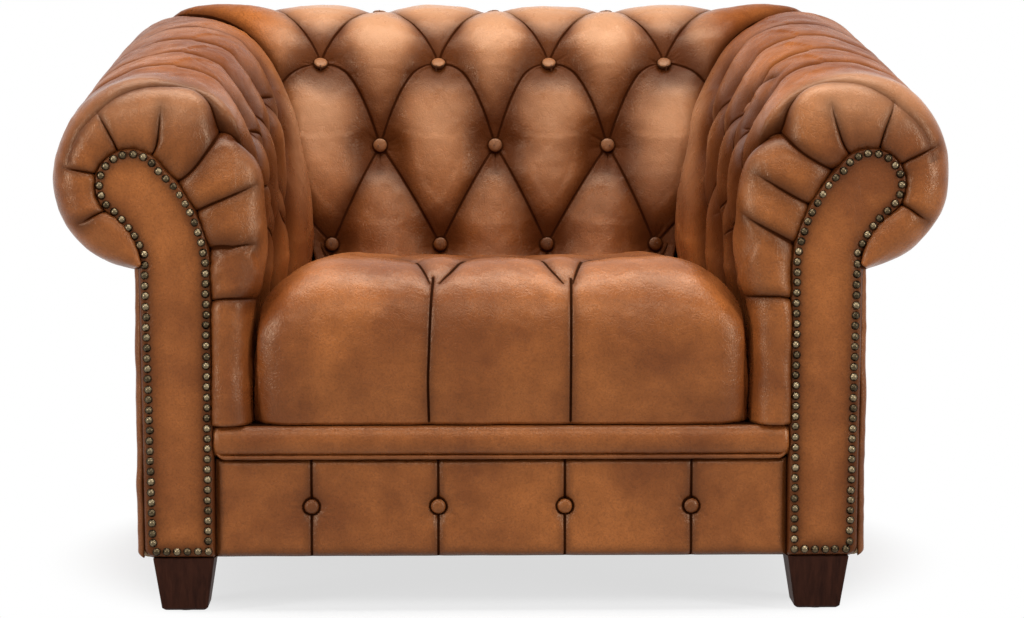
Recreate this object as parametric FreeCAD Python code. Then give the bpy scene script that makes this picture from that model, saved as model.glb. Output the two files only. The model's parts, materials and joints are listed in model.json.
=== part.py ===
import FreeCAD, Part
import math
import os

os.makedirs("parts", exist_ok=True)

# The chair stands on its legs at z = 0, faces -Y, and is mirrored about x = 0.
# All sizes are in millimetres and all angles in degrees.
half_depth = 460.0
base_height = 74.0
rail_height = 130.0
seat_rise = 209.5
clearance = 0.5
overrun = 30.0
full_turn_degrees = 360.0
half_turn_degrees = full_turn_degrees / 2
quarter_turn_degrees = full_turn_degrees / 4

# Timber of the base and back.
side_rail_thickness = 26.0
front_rail_thickness = 24.0
back_rail_thickness = 44.0
spring_rail_thickness = 24.0
spring_rail_height = 65.0
center_rail_width = 30.0
center_rail_height = 60.0
block_width = 62.0
block_depth = 76.0
block_height = 46.0
post_width = 45.0
top_rail_height = 52.0
top_rail_thickness = 34.0
top_rail_end = 32.0
slat_width = 60.0
slat_thickness = 20.0
rear_board_thickness = 22.0
front_board_thickness = 22.0
board_inset = 3.0
outside_panel_thickness = 7.0
dust_cover_thickness = 1.0
dowel_diameter = 10.0
dowel_length = 40.0
screw_diameter = 5.0
screw_length = 72.0
screw_head = 10.0
screw_head_height = 2.0
screw_inset = 65.0

# Legs and their fittings.
leg_top_width = 80.0
leg_bottom_width = 59.0
leg_setback = 6.0
glide_diameter = 26.0
glide_height = 3.0
bolt_diameter = 8.0
bolt_in_leg = 40.0
bolt_in_block = 34.0
nut_diameter = 12.0
nut_height = 14.0
nut_flange = 20.0
nut_flange_height = 2.0

# Suspension and webbing.
spring_wire = 3.8
spring_loop_radius = 11.0
spring_leg = 28.0
spring_count = 5
spring_pitch = 110.0
clip_length = 22.0
clip_width = 8.0
tie_wire = 2.4
tie_shares = (1 / 3, 2 / 3)
deck_cloth = 1.5
deck_margin = 20.0
webbing_width = 50.0
webbing_thickness = 1.6
arm_web_shares = (0.2, 0.75)

# Front rail covering: apron, welt and band.
apron_recess = 10.0
apron_drop = 0.2
apron_pleat_pitch = 165.0
apron_pleat_depth = 3.5
apron_pleat_half_width = 3.5
welt_diameter = 6.0
welt_flange = 2.0
welt_gap = 0.2
band_height = 40.8
band_recess = 2.5
band_edge_recess = 20.0

# Heights that follow from the base up.
panel_bottom = base_height
rail_bottom = base_height + dust_cover_thickness
rail_top = rail_bottom + rail_height
apron_top = rail_top - apron_drop
band_bottom = apron_top + welt_flange + welt_gap * 2
band_top = band_bottom + band_height
deck_height = band_top + clearance
seat_crown = deck_height + seat_rise
apron_button_z = (panel_bottom + apron_top) / 2

# Arm roll, at its front, its middle and where it meets the back.
roll_center_x = 460.0
roll_radius_front = 120.0
roll_radius_middle = 131.0
roll_radius_rear = 136.0
roll_above_seat = 122.0
roll_rise_middle = 37.0
roll_rise_rear = 68.0
roll_nose_length = 35.0
roll_nose_inset = 34.0
roll_brow_length = 11.0
roll_brow_inset = 11.0
roll_tip_angle = 80.0
roll_height_front = seat_crown + roll_above_seat
roll_height_middle = roll_height_front + roll_rise_middle
roll_height_rear = roll_height_front + roll_rise_rear
roll_full_y = -half_depth + roll_nose_length
roll_brow_y = -half_depth + roll_brow_length

# Back roll, and the ball that rounds the corner between it and an arm.
back_roll_radius = 128.0
back_roll_above_arm = 20.0
back_roll_y = half_depth - back_roll_radius
back_roll_height = roll_height_rear + back_roll_above_arm
roll_rear_y = back_roll_y
roll_middle_y = (roll_full_y + roll_rear_y) / 2
corner_radius = (roll_radius_rear + back_roll_radius) / 2
corner_height = (roll_height_rear + back_roll_height) / 2
prism_reach = half_depth * 4

# Facing on each arm front, a column with a scroll head.
facing_inner_offset = 86.0
facing_width = 99.0
facing_recess = 4.0
facing_thickness = 12.5
facing_corner = 14.0
facing_corner_least = 3.5
scroll_offset = 16.5
scroll_drop = 20.0
scroll_radius = 49.5
scroll_neck_drop = 102.0
scroll_throat_drop = 90.0
scroll_swell = 9.0
scroll_under_swell = 3.0
scroll_brow_angle = 151.0
scroll_chin_angle = -52.0
facing_inner_x = roll_center_x - facing_inner_offset
facing_outer_x = facing_inner_x + facing_width
facing_front_y = -half_depth + facing_recess
scroll_center_x = roll_center_x + scroll_offset
scroll_center_z = roll_height_front - scroll_drop
scroll_neck_z = scroll_center_z - scroll_neck_drop
scroll_throat_z = scroll_center_z - scroll_throat_drop
board_front_y = facing_front_y + facing_thickness
board_back_y = board_front_y + front_board_thickness

# Inner face of the arm: its waist beside the seat and its fullest line above.
waist_out_front = 50.0
waist_out_middle = 84.0
waist_out_rear = 110.0
waist_rise_front = 151.5
waist_rise_rear = 181.5
face_reach = 171.0
face_below_roll = 52.0
face_swell = 7.0
shoulder_in_share = 0.73
shoulder_drop_share = 0.30
arm_hollow_gap = 2.0
arm_hook_reach = 20.0
arm_hook_drop = 50.0
arm_foam_height = 221.0
arm_foam_thickness = 34.0
arm_foam_rear_gap = 34.0
waist_x_front = facing_inner_x - waist_out_front
waist_x_middle = facing_inner_x - waist_out_middle
waist_x_rear = facing_inner_x - waist_out_rear
waist_height_front = deck_height + waist_rise_front
waist_height_rear = deck_height + waist_rise_rear
face_x = roll_center_x - face_reach
arm_hollow_x = facing_inner_x + arm_hollow_gap
arm_hook_x = arm_hollow_x + arm_hook_reach
arm_foam_top = deck_height + arm_foam_height

# Outer panels, rails and boards, placed from the facing and the back roll.
outside_step = 1.0
rail_before_roll = 32.0
panel_behind_rail = 2.5
rear_board_behind_rail = 2.0
rear_board_below_roll = 163.0
slat_below_roll = 36.0
post_inside_roll = 140.0
post_below_roll = 128.0
outside_x = facing_outer_x + outside_step
side_rail_outer_x = outside_x - outside_panel_thickness - clearance
side_rail_inner_x = side_rail_outer_x - side_rail_thickness
back_rail_front_y = back_roll_y - rail_before_roll
back_rail_rear_y = back_rail_front_y + back_rail_thickness
outside_back_y = back_rail_rear_y + panel_behind_rail + outside_panel_thickness
rear_board_y = back_rail_front_y + rear_board_behind_rail
rear_board_top = roll_height_rear - rear_board_below_roll
post_x = roll_center_x - post_inside_roll
post_top = back_roll_height - post_below_roll
top_rail_half_length = post_x + top_rail_end
leg_x = facing_inner_x + leg_top_width / 2
leg_front_y = facing_front_y + leg_setback + leg_top_width / 2
leg_rear_y = outside_back_y - leg_setback - leg_top_width / 2

# Back pad: a leaning face that is tangent to the roll over the top.
back_foot_setback = 180.0
back_foot_below_crown = 38.0
back_hook_drop = 108.0
back_knee_rise = 5.0
back_foam_rise = 80.0
back_foam_wall = 46.0
back_foam_half_width = 250.0
miter_gap = 0.6
miter_step = 8.0
back_foot_y = back_roll_y - back_foot_setback
back_foot_z = seat_crown - back_foot_below_crown
back_hollow_y = back_rail_front_y - webbing_thickness - clearance
back_knee_z = post_top + back_knee_rise
back_foam_top = back_foot_z + back_foam_rise
back_foam_face_y = back_foot_y + back_foam_wall
spring_rail_y = back_foot_y + back_foam_wall + clip_width

# Dome nails along the facing.
nail_head_diameter = 10.5
nail_head_height = 3.0
nail_shank_diameter = 2.0
nail_shank_length = 9.0
nail_pitch = 13.4
nail_inset = 8.5
nail_bottom_inset = 9.0

# Covered buttons, and the tufts that they draw in.
button_diameter = 20.0
button_height = 9.0
button_rim = 2.5
tuft_depth = 22.0
tuft_mouth = 24.0
crease_depth = 11.0
crease_half_width = 11.0
crease_proud = 5.0
crease_end_share = 0.8
crease_shares = (0.0, 0.25, 0.5, 0.75, 1.0)
twine_diameter = 2.0
twine_anchor_depth = 14.0

# Rows of tufts on the back.
back_pitch = 174.0
back_pitch_low = 163.0
back_top_row_rise = 40.0
back_middle_row_drop = 83.0
back_low_row_drop = 18.0
back_over_angle = 86.0
back_over_depth = 12.0
back_row_top_z = back_roll_height + back_top_row_rise
back_row_middle_z = back_roll_height - back_middle_row_drop
back_row_low_z = seat_crown - back_low_row_drop

# Stations of tufts along each arm.
arm_pitch = 160.0
arm_first_gap = 90.0
arm_top_count = 4
arm_low_count = 3
arm_top_share = 0.58
arm_middle_share = 0.10
arm_low_share = 0.45
arm_fold_depth = 6.0
fold_half_width = 9.0
fold_upper_shares = (arm_top_share, 0.75, 0.92)
fold_outer_shares = (0.1, 0.35, 0.6, 0.85)
fold_under_shares = (0.1, 0.4, 0.7, 0.9)
arm_first_y = roll_full_y + arm_first_gap

# Seat: crowned, with a rounded nose and shoulders.
seat_waist_gap = 2.0
seat_side_gap = 9.0
seat_recess = 2.0
seat_toe_recess = 12.0
seat_nose_length = 113.0
seat_back_gap = 3.0
seat_rear_drop = 44.0
seat_edge_inset = 6.0
seat_side_inset = 2.0
seat_brow_inset = 3.0
seat_nose_inset = 34.0
seat_nose_drop = 24.0
seat_shoulder_drop = 6.0
seat_turn_drop = 23.0
seat_side_drop = 54.0
seat_edge_drop = 98.0
seat_shoulder_share = 0.80
seat_turn_share = 0.90
seat_side_share = 0.98
seat_belly_share = 0.36
seat_brow_share = 0.66
seat_rise_share = 0.30
seam_x = 93.5
seam_depth = 7.0
seam_half_width = 6.0
seam_shares = (0.0, 0.3, 0.6, 0.9)
seat_row_gap = 23.0
seat_row_pitch = 118.0
seat_row_count = 4
seat_tuft_depth = 13.0
seat_crease_depth = 6.6
foam_side_wall = 72.0
foam_front_wall = 53.0
foam_rear_wall = 19.0
foam_top_wall = 58.0
seat_half_width = waist_x_front - seat_waist_gap
seat_front_y = -half_depth + seat_recess
seat_toe_y = -half_depth + seat_toe_recess
seat_crown_y = seat_front_y + seat_nose_length
seat_rear_y = back_foot_y - seat_back_gap
seat_row_y = seat_crown_y + seat_row_gap
foam_half_width = seat_half_width - foam_side_wall
foam_front_y = seat_front_y + foam_front_wall
foam_rear_y = seat_rear_y - foam_rear_wall
foam_top = seat_crown - foam_top_wall

apron_front_y = facing_front_y + apron_recess
apron_back_y = board_back_y
band_front_y = -half_depth + band_recess
band_edge_y = -half_depth + band_edge_recess


def vector(x, y, z):
    return FreeCAD.Vector(x, y, z)


def box(x_low, x_high, y_low, y_high, z_low, z_high):
    return Part.makeBox(x_high - x_low, y_high - y_low, z_high - z_low, vector(x_low, y_low, z_low))


def line(start, end):
    return Part.LineSegment(start, end).toShape()


def arc(start, via, end):
    return Part.Arc(start, via, end).toShape()


def polygon(points):
    return Part.makePolygon(points + [points[0]])


def prism(points, direction):
    return Part.Face(polygon(points)).extrude(direction)


def cylinder(diameter, base, direction, length):
    return Part.makeCylinder(diameter / 2, length, base, direction)


def largest(shape):
    # The pad itself, without the offcuts of its creases.
    return max(shape.Solids, key=lambda solid: solid.Volume)


def mirrored(shape):
    return shape.mirror(vector(0, 0, 0), vector(1, 0, 0))


def save(name, shape):
    shape.exportStep("parts/" + name + ".step")


def save_pair(name, right_shape):
    save(name + "_right", right_shape)
    save(name + "_left", mirrored(right_shape))


def turned(diameter_steps, base, direction):
    # A turned piece: pairs of radius and height are spun about the direction.
    points = [vector(radius, 0, height) for radius, height in diameter_steps]
    face = Part.Face(polygon(points))
    solid = face.revolve(vector(0, 0, 0), vector(0, 0, 1), full_turn_degrees)
    solid.Placement = FreeCAD.Placement(base, FreeCAD.Rotation(vector(0, 0, 1), direction))
    return solid


def dome(radius, height, base_z):
    # The arc of a round cap from its rim to its top, where it lies level.
    ball = (radius ** 2 + height ** 2) / (height * 2)
    half_turn = math.asin(radius / ball) / 2
    via = vector(ball * math.sin(half_turn), 0, base_z + height - ball * (1 - math.cos(half_turn)))
    return arc(vector(radius, 0, base_z), via, vector(0, 0, base_z + height))


def button(base, outward):
    # A covered button: a flat rim below a low dome.
    radius = button_diameter / 2
    edges = [
        line(vector(0, 0, 0), vector(radius, 0, 0)),
        line(vector(radius, 0, 0), vector(radius, 0, button_rim)),
        dome(radius, button_height - button_rim, button_rim),
        line(vector(0, 0, button_height), vector(0, 0, 0)),
    ]
    solid = Part.Face(Part.Wire(edges)).revolve(vector(0, 0, 0), vector(0, 0, 1), full_turn_degrees)
    solid.Placement = FreeCAD.Placement(base, FreeCAD.Rotation(vector(0, 0, 1), outward))
    return solid


def pocket(point, outward, depth):
    # The funnel that a button draws into a pad.
    seat_radius = button_diameter / 2 + clearance
    slope = (tuft_mouth - seat_radius) / depth
    mouth = tuft_mouth + slope * crease_proud
    steps = [
        (0, -depth),
        (seat_radius, -depth),
        (mouth, crease_proud),
        (0, crease_proud),
    ]
    return turned(steps, point, outward)


def groove(stations, half_width):
    # A sewn crease: a V section carried from station to station, which is
    # (point on the surface, outward normal, depth).
    wires = []
    for index, (point, outward, depth) in enumerate(stations):
        before = stations[max(index - 1, 0)][0]
        after = stations[min(index + 1, len(stations) - 1)][0]
        across = (after - before).cross(outward).normalize()
        lift = outward * crease_proud
        wires.append(polygon([
            point - outward * depth,
            point + lift + across * half_width,
            point + lift - across * half_width,
        ]))
    return Part.makeLoft(wires, True, True)


def crease_between(surface, start, end, end_depth, middle_depth, half_width):
    # A crease on a surface that is given as surface(along, up) -> point, normal.
    stations = []
    for share in crease_shares:
        depth = end_depth if share in (0, 1) else middle_depth
        along = start[0] + (end[0] - start[0]) * share
        up = start[1] + (end[1] - start[1]) * share
        point, outward = surface(along, up)
        stations.append((point, outward, depth))
    return groove(stations, half_width)


# Arm sections, seen along Y on the +X side.
def arm_station(y, radius, height, waist_x, waist_z, inset):
    center_z = height
    tip = math.radians(roll_tip_angle)
    round_radius = radius - inset
    crest = vector(roll_center_x, y, center_z + round_radius)
    outer = vector(roll_center_x + round_radius, y, center_z)
    face = vector(face_x + inset, y, center_z - face_below_roll)
    return {
        "foot": vector(waist_x + inset / 2, y, deck_height),
        "waist": vector(waist_x + inset / 2, y, waist_z),
        "face": face,
        "crest": crest,
        "outer": outer,
        "tip": vector(roll_center_x + round_radius * math.cos(tip), y,
                      center_z - round_radius * math.sin(tip)),
        "hook": vector(arm_hook_x, y, center_z - arm_hook_drop),
        "heel": vector(arm_hollow_x, y, deck_height),
        "center": vector(roll_center_x, y, center_z),
        "radius": round_radius,
    }


def arm_arcs(station):
    # The rounds of a section, from the waist to the lower tip.
    face = station["face"]
    crest = station["crest"]
    waist = station["waist"]
    center = station["center"]
    radius = station["radius"]
    diagonal = radius * math.cos(math.pi / 4)
    shoulder = vector(crest.x - (crest.x - face.x) * shoulder_in_share, crest.y,
                      crest.z - (crest.z - face.z) * shoulder_drop_share)
    swell = vector((waist.x + face.x) / 2 - face_swell, waist.y, (waist.z + face.z) / 2)
    high_outer = vector(center.x + diagonal, center.y, center.z + diagonal)
    low_outer = vector(center.x + diagonal, center.y, center.z - diagonal)
    return {
        "lower": Part.Arc(waist, swell, face),
        "upper": Part.Arc(face, shoulder, crest),
        "outer": Part.Arc(crest, high_outer, station["outer"]),
        "under": Part.Arc(station["outer"], low_outer, station["tip"]),
    }


def arm_wire(station):
    arcs = arm_arcs(station)
    return Part.Wire([
        line(station["foot"], station["waist"]),
        arcs["lower"].toShape(),
        arcs["upper"].toShape(),
        arcs["outer"].toShape(),
        arcs["under"].toShape(),
        line(station["tip"], station["hook"]),
        line(station["hook"], station["heel"]),
        line(station["heel"], station["foot"]),
    ])


def arm_sections():
    front = (roll_radius_front, roll_height_front, waist_x_front, waist_height_front)
    middle = (roll_radius_middle, roll_height_middle, waist_x_middle,
              (waist_height_front + waist_height_rear) / 2)
    rear = (roll_radius_rear, roll_height_rear, waist_x_rear, waist_height_rear)
    return [
        arm_station(-half_depth, *front, roll_nose_inset),
        arm_station(roll_brow_y, *front, roll_brow_inset),
        arm_station(roll_full_y, *front, 0),
        arm_station(roll_middle_y, *middle, 0),
        arm_station(roll_rear_y, *rear, 0),
        arm_station(half_depth + overrun, *rear, 0),
    ]


def arm_section_at(y):
    # The section between two stations, by straight interpolation.
    sections = arm_sections()
    lower, upper = sections[2], sections[3]
    for first, second in zip(sections[2:], sections[3:]):
        if first["center"].y <= y:
            lower, upper = first, second
    share = (y - lower["center"].y) / (upper["center"].y - lower["center"].y)
    return {key: lower[key] + (upper[key] - lower[key]) * share for key in lower}


def arm_surface(kind):
    # A point and outward normal on one round of the arm at a place along Y.
    def surface(y, share):
        section = arm_section_at(y)
        curve = arm_arcs(section)[kind]
        parameter = curve.FirstParameter + (curve.LastParameter - curve.FirstParameter) * share
        point = curve.value(parameter)
        tangent = curve.tangent(parameter)[0]
        outward = tangent.cross(vector(0, 1, 0)).normalize()
        if (point - section["center"]).dot(outward) < 0:
            outward = outward * -1
        return point, outward
    return surface


arm_lower = arm_surface("lower")
arm_upper = arm_surface("upper")
arm_outer = arm_surface("outer")
arm_under = arm_surface("under")


def arm_inner(y, climb):
    # The inner face as one strip: 0 to 1 up the lower round, 1 to 2 up the upper one.
    if climb <= 1:
        return arm_lower(y, climb)
    return arm_upper(y, climb - 1)


# Back profile, seen along X.
foot_to_center = math.hypot(back_roll_y - back_foot_y, back_roll_height - back_foot_z)
back_lean = (math.atan2(back_roll_y - back_foot_y, back_roll_height - back_foot_z)
             - math.asin(back_roll_radius / foot_to_center))
back_tangent_z = back_roll_height + back_roll_radius * math.sin(back_lean)


def back_round(angle):
    # A point and outward normal on the back roll; 0 faces the front, 90 degrees is the crest.
    outward = vector(0, -math.cos(angle), math.sin(angle))
    center = vector(0, back_roll_y, back_roll_height)
    return center + outward * back_roll_radius, outward


def back_surface(x, z):
    # The leaning face and the front of the roll above it.
    if z <= back_tangent_z:
        y = back_foot_y + (z - back_foot_z) * math.tan(back_lean)
        return vector(x, y, z), vector(0, -math.cos(back_lean), math.sin(back_lean))
    angle = math.asin((z - back_roll_height) / back_roll_radius)
    point, outward = back_round(angle)
    return vector(x, point.y, point.z), outward


def back_over(x, degrees):
    point, outward = back_round(math.radians(degrees))
    return vector(x, point.y, point.z), outward


miter_inner = vector(waist_x_rear - miter_step, back_foot_y, 0)
miter_outer = vector(roll_center_x + roll_radius_rear, half_depth, 0)


def corner_room():
    # What a ball at the rear corner of the rolls leaves out, so that the corner is round.
    center = vector(roll_center_x, back_roll_y, corner_height)
    ball = Part.makeSphere(corner_radius, center)
    reach = half_depth
    block = box(roll_center_x, roll_center_x + reach, back_roll_y, back_roll_y + reach,
                corner_height - reach, corner_height + reach)
    return block.cut(ball)


def miter_prism(behind):
    # Everything in front of, or behind, the line where an arm meets the back.
    direction = (miter_outer - miter_inner).normalize()
    side = vector(-direction.y, direction.x, 0)
    if not behind:
        side = side * -1
    shift = side * (-miter_gap / 2)
    reach = prism_reach
    start = miter_inner - direction * half_depth + shift
    end = miter_outer + direction * half_depth + shift
    return prism([start, end, end + side * reach, start + side * reach], vector(0, 0, reach))


# Facing outline, seen from the front on the +X side.
def facing_wire(inset, bottom, y):
    radius = scroll_radius - inset
    left = facing_inner_x + inset
    right = facing_outer_x - inset
    center = vector(scroll_center_x, y, scroll_center_z)
    corner = max(facing_corner - inset, facing_corner_least)

    def on_scroll(degrees):
        angle = math.radians(degrees)
        return center + vector(math.cos(angle), 0, math.sin(angle)) * radius

    neck = vector(left, y, scroll_neck_z)
    brow = on_scroll(scroll_brow_angle)
    hollow = (neck + brow) * 0.5 + vector(-scroll_swell, 0, scroll_swell)
    chin = on_scroll(scroll_chin_angle)
    throat = vector(right, y, scroll_throat_z)
    under = (chin + throat) * 0.5 + vector(-scroll_under_swell, 0, scroll_under_swell)
    low = vector(right, y, bottom + corner)
    turn = corner * (1 - math.cos(math.pi / 4))
    return Part.Wire([
        line(vector(left, y, bottom), neck),
        arc(neck, hollow, brow),
        arc(brow, on_scroll((scroll_brow_angle + scroll_chin_angle) / 2), chin),
        arc(chin, under, throat),
        line(throat, low),
        arc(low, vector(right - turn, y, bottom + turn), vector(right - corner, y, bottom)),
        line(vector(right - corner, y, bottom), vector(left, y, bottom)),
    ])


facing_solid = Part.Face(facing_wire(0, panel_bottom, facing_front_y)).extrude(
    vector(0, facing_thickness, 0))
board_solid = Part.Face(facing_wire(board_inset, rail_bottom, board_front_y)).extrude(
    vector(0, front_board_thickness, 0))
facing_room = Part.Face(facing_wire(-clearance, panel_bottom - overrun, -half_depth - overrun)).extrude(
    vector(0, board_back_y + half_depth + overrun + clearance, 0))


# Nails: two columns, the scroll between them and a bottom row.
def nail_places():
    path = facing_wire(nail_inset, panel_bottom + nail_bottom_inset, facing_front_y)
    count = round(path.Length / nail_pitch)
    return path.discretize(Number=count + 1)[:-1]


def nail(place):
    radius = nail_head_diameter / 2
    shank = nail_shank_diameter / 2
    deep = vector(0, 0, -nail_shank_length)
    edges = [
        line(deep, vector(shank, 0, -nail_shank_length)),
        line(vector(shank, 0, -nail_shank_length), vector(shank, 0, 0)),
        line(vector(shank, 0, 0), vector(radius, 0, 0)),
        dome(radius, nail_head_height, 0),
        line(vector(0, 0, nail_head_height), deep),
    ]
    solid = Part.Face(Part.Wire(edges)).revolve(vector(0, 0, 0), vector(0, 0, 1), full_turn_degrees)
    solid.Placement = FreeCAD.Placement(place, FreeCAD.Rotation(vector(0, 0, 1), vector(0, -1, 0)))
    return solid


nails = [nail(place) for place in nail_places()]
nail_holes = [
    cylinder(nail_shank_diameter + clearance / 2, place - vector(0, clearance, 0), vector(0, 1, 0),
             nail_shank_length + clearance * 2)
    for place in nail_places()
]
print("nails on each arm:", len(nails))
facing_with_holes = facing_solid.cut(Part.makeCompound(nail_holes))
save_pair("arm_facing", facing_with_holes)
save_pair("nails", Part.makeCompound(nails))
save_pair("arm_front_board", board_solid)


# Arm timber.
def arm_center_height(y):
    return arm_section_at(y)["center"].z


def arm_slat(gap):
    # The board under the roll, rising with it from the front board to the rear board.
    front_y = board_back_y
    rear_y = rear_board_y
    front_z = arm_center_height(front_y) - slat_below_roll
    rear_z = arm_center_height(rear_y) - slat_below_roll
    low_x = roll_center_x - slat_width / 2 - gap
    points = [
        vector(low_x, front_y, front_z - gap),
        vector(low_x, rear_y, rear_z - gap),
        vector(low_x, rear_y, rear_z + slat_thickness + gap),
        vector(low_x, front_y, front_z + slat_thickness + gap),
    ]
    return prism(points, vector(slat_width + gap * 2, 0, 0))


side_rail = box(side_rail_inner_x, side_rail_outer_x, board_back_y, back_rail_rear_y,
                rail_bottom, rail_top)
save_pair("arm_top_slat", arm_slat(0))
rear_board_foot_x = arm_hollow_x + clearance
rear_board = box(rear_board_foot_x, side_rail_outer_x, rear_board_y,
                 rear_board_y + rear_board_thickness, rail_top, rear_board_top)
slat_rear_z = arm_center_height(rear_board_y) - slat_below_roll
rear_board_head = box(roll_center_x - slat_width / 2, side_rail_outer_x, rear_board_y,
                      rear_board_y + rear_board_thickness, rear_board_top, slat_rear_z + slat_thickness)
rear_board = rear_board.fuse(rear_board_head).removeSplitter()
def arm_web(y, gap):
    # A strip from the side rail up to the slat.
    low_edge_y = y - webbing_width / 2
    slat_low = slat_front_z + (low_edge_y - board_back_y) * slat_rise
    return box(side_rail_inner_x - webbing_thickness - gap, side_rail_inner_x + gap, low_edge_y - gap,
               y + webbing_width / 2 + gap, rail_top - webbing_width, slat_low)


slat_front_z = arm_center_height(board_back_y) - slat_below_roll
slat_rise = (slat_rear_z - slat_front_z) / (rear_board_y - board_back_y)
arm_web_places = [board_back_y + (rear_board_y - board_back_y) * share for share in arm_web_shares]
save_pair("arm_webbing", Part.makeCompound([arm_web(y, 0) for y in arm_web_places]))
rear_board_room = box(roll_center_x - slat_width / 2 - clearance, side_rail_outer_x + clearance,
                      rear_board_y - clearance, rear_board_y + rear_board_thickness + clearance,
                      rear_board_top - overrun, slat_rear_z + slat_thickness + clearance)
save_pair("arm_rear_board", rear_board)


# Arm tufts: funnels at the buttons and creases between them.
def arm_places():
    top = [(arm_first_y + arm_pitch * index, 1 + arm_top_share) for index in range(arm_top_count)]
    middle = [(arm_first_y + arm_pitch * (index + 0.5), 1 + arm_middle_share)
              for index in range(arm_top_count - 1)]
    low = [(arm_first_y + arm_pitch * index, arm_low_share) for index in range(arm_low_count)]
    return top, middle, low


def arm_fold(y):
    # The straight fold from a top button over the roll to its lower tip.
    stations = []
    for surface, shares in ((arm_upper, fold_upper_shares), (arm_outer, fold_outer_shares),
                            (arm_under, fold_under_shares)):
        for share in shares:
            point, outward = surface(y, share)
            depth = tuft_depth if not stations else arm_fold_depth
            stations.append((point, outward, depth))
    return groove(stations, fold_half_width)


def arm_cutters():
    top, middle, low = arm_places()
    cutters = [pocket(*arm_inner(*place), tuft_depth) for place in top + middle + low]
    pairs = []
    for upper_row, lower_row in ((top, middle), (low, middle)):
        for start in upper_row:
            for end in lower_row:
                if abs(start[0] - end[0]) < arm_pitch:
                    pairs.append((start, end))
    for start, end in pairs:
        cutters.append(crease_between(arm_inner, start, end, tuft_depth * crease_end_share, crease_depth,
                                      crease_half_width))
    cutters += [arm_fold(place[0]) for place in top]
    return cutters


arm_pad = Part.makeLoft([arm_wire(station) for station in arm_sections()], True, True)
arm_pad = arm_pad.cut(miter_prism(True))
arm_pad = arm_pad.cut(corner_room())
arm_room = [facing_room, arm_slat(clearance), rear_board_room]
arm_room += [arm_web(y, clearance) for y in arm_web_places]
arm_foam = box(arm_hollow_x - arm_foam_thickness, arm_hollow_x - clearance, board_back_y + clearance,
               back_foot_y - arm_foam_rear_gap, deck_height + clearance, arm_foam_top)
arm_foam_room = box(arm_hollow_x - arm_foam_thickness - clearance, arm_hollow_x + overrun,
                    board_back_y - clearance, back_foot_y - arm_foam_rear_gap + clearance,
                    deck_height - overrun, arm_foam_top + clearance)
arm_pad = arm_pad.cut(Part.makeCompound(arm_room))
arm_pad = arm_pad.cut(arm_foam_room)
arm_pad = arm_pad.cut(Part.makeCompound(arm_cutters()))
arm_pad = largest(arm_pad)
print("arm pad faces:", len(arm_pad.Faces), "valid:", arm_pad.isValid())
save_pair("arm_pad", arm_pad)
save_pair("arm_foam_core", arm_foam)

arm_buttons = []
for row in arm_places():
    for place in row:
        point, outward = arm_inner(*place)
        arm_buttons.append(button(point - outward * tuft_depth, outward))
save_pair("arm_buttons", Part.makeCompound(arm_buttons))


# Back pad.
def back_wire(x):
    foot = vector(x, back_foot_y, deck_height)
    face_foot = vector(x, back_foot_y, back_foot_z)
    tangent, _ = back_surface(x, back_tangent_z)
    crest, _ = back_over(x, quarter_turn_degrees)
    rear, _ = back_over(x, half_turn_degrees)
    tip, _ = back_over(x, half_turn_degrees + roll_tip_angle)
    front_round, _ = back_over(x, quarter_turn_degrees / 2)
    rear_round, _ = back_over(x, quarter_turn_degrees * 3 / 2)
    low_round, _ = back_over(x, half_turn_degrees + roll_tip_angle / 2)
    hook = vector(x, back_rail_front_y + clearance, back_roll_height - back_hook_drop)
    knee = vector(x, back_hollow_y, back_knee_z)
    heel = vector(x, back_hollow_y, deck_height)
    return Part.Wire([
        line(foot, face_foot),
        line(face_foot, tangent),
        arc(tangent, front_round, crest),
        arc(crest, rear_round, rear),
        arc(rear, low_round, tip),
        line(tip, hook),
        line(hook, knee),
        line(knee, heel),
        line(heel, foot),
    ])


def back_places():
    top = [(back_pitch * step, back_row_top_z) for step in (-1.5, -0.5, 0.5, 1.5)]
    middle = [(back_pitch * step, back_row_middle_z) for step in (-1, 0, 1)]
    low = [(back_pitch_low * step, back_row_low_z) for step in (-1.5, -0.5, 0.5, 1.5)]
    over = [(back_pitch * step, back_over_angle) for step in (-1, 0, 1)]
    return top, middle, low, over


def back_cutters():
    top, middle, low, over = back_places()
    cutters = [pocket(*back_surface(*place), tuft_depth) for place in top + middle + low]
    cutters += [pocket(*back_over(*place), back_over_depth) for place in over]
    for rows in ((top, middle), (low, middle)):
        for start in rows[0]:
            for end in rows[1]:
                if abs(start[0] - end[0]) < back_pitch:
                    cutters.append(crease_between(back_surface, start, end, tuft_depth * crease_end_share,
                                                  crease_depth, crease_half_width))
    top_angle = math.degrees(math.asin((back_row_top_z - back_roll_height) / back_roll_radius))
    for x, _ in top:
        for end_x, end_angle in over:
            if abs(x - end_x) < back_pitch:
                cutters.append(crease_between(back_over, (x, top_angle), (end_x, end_angle),
                                              back_over_depth, crease_depth, crease_half_width))
    for x, angle in over:
        cutters.append(crease_between(back_over, (x, angle), (x, half_turn_degrees + roll_tip_angle / 2),
                                      back_over_depth, arm_fold_depth, crease_half_width))
    return cutters


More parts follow.
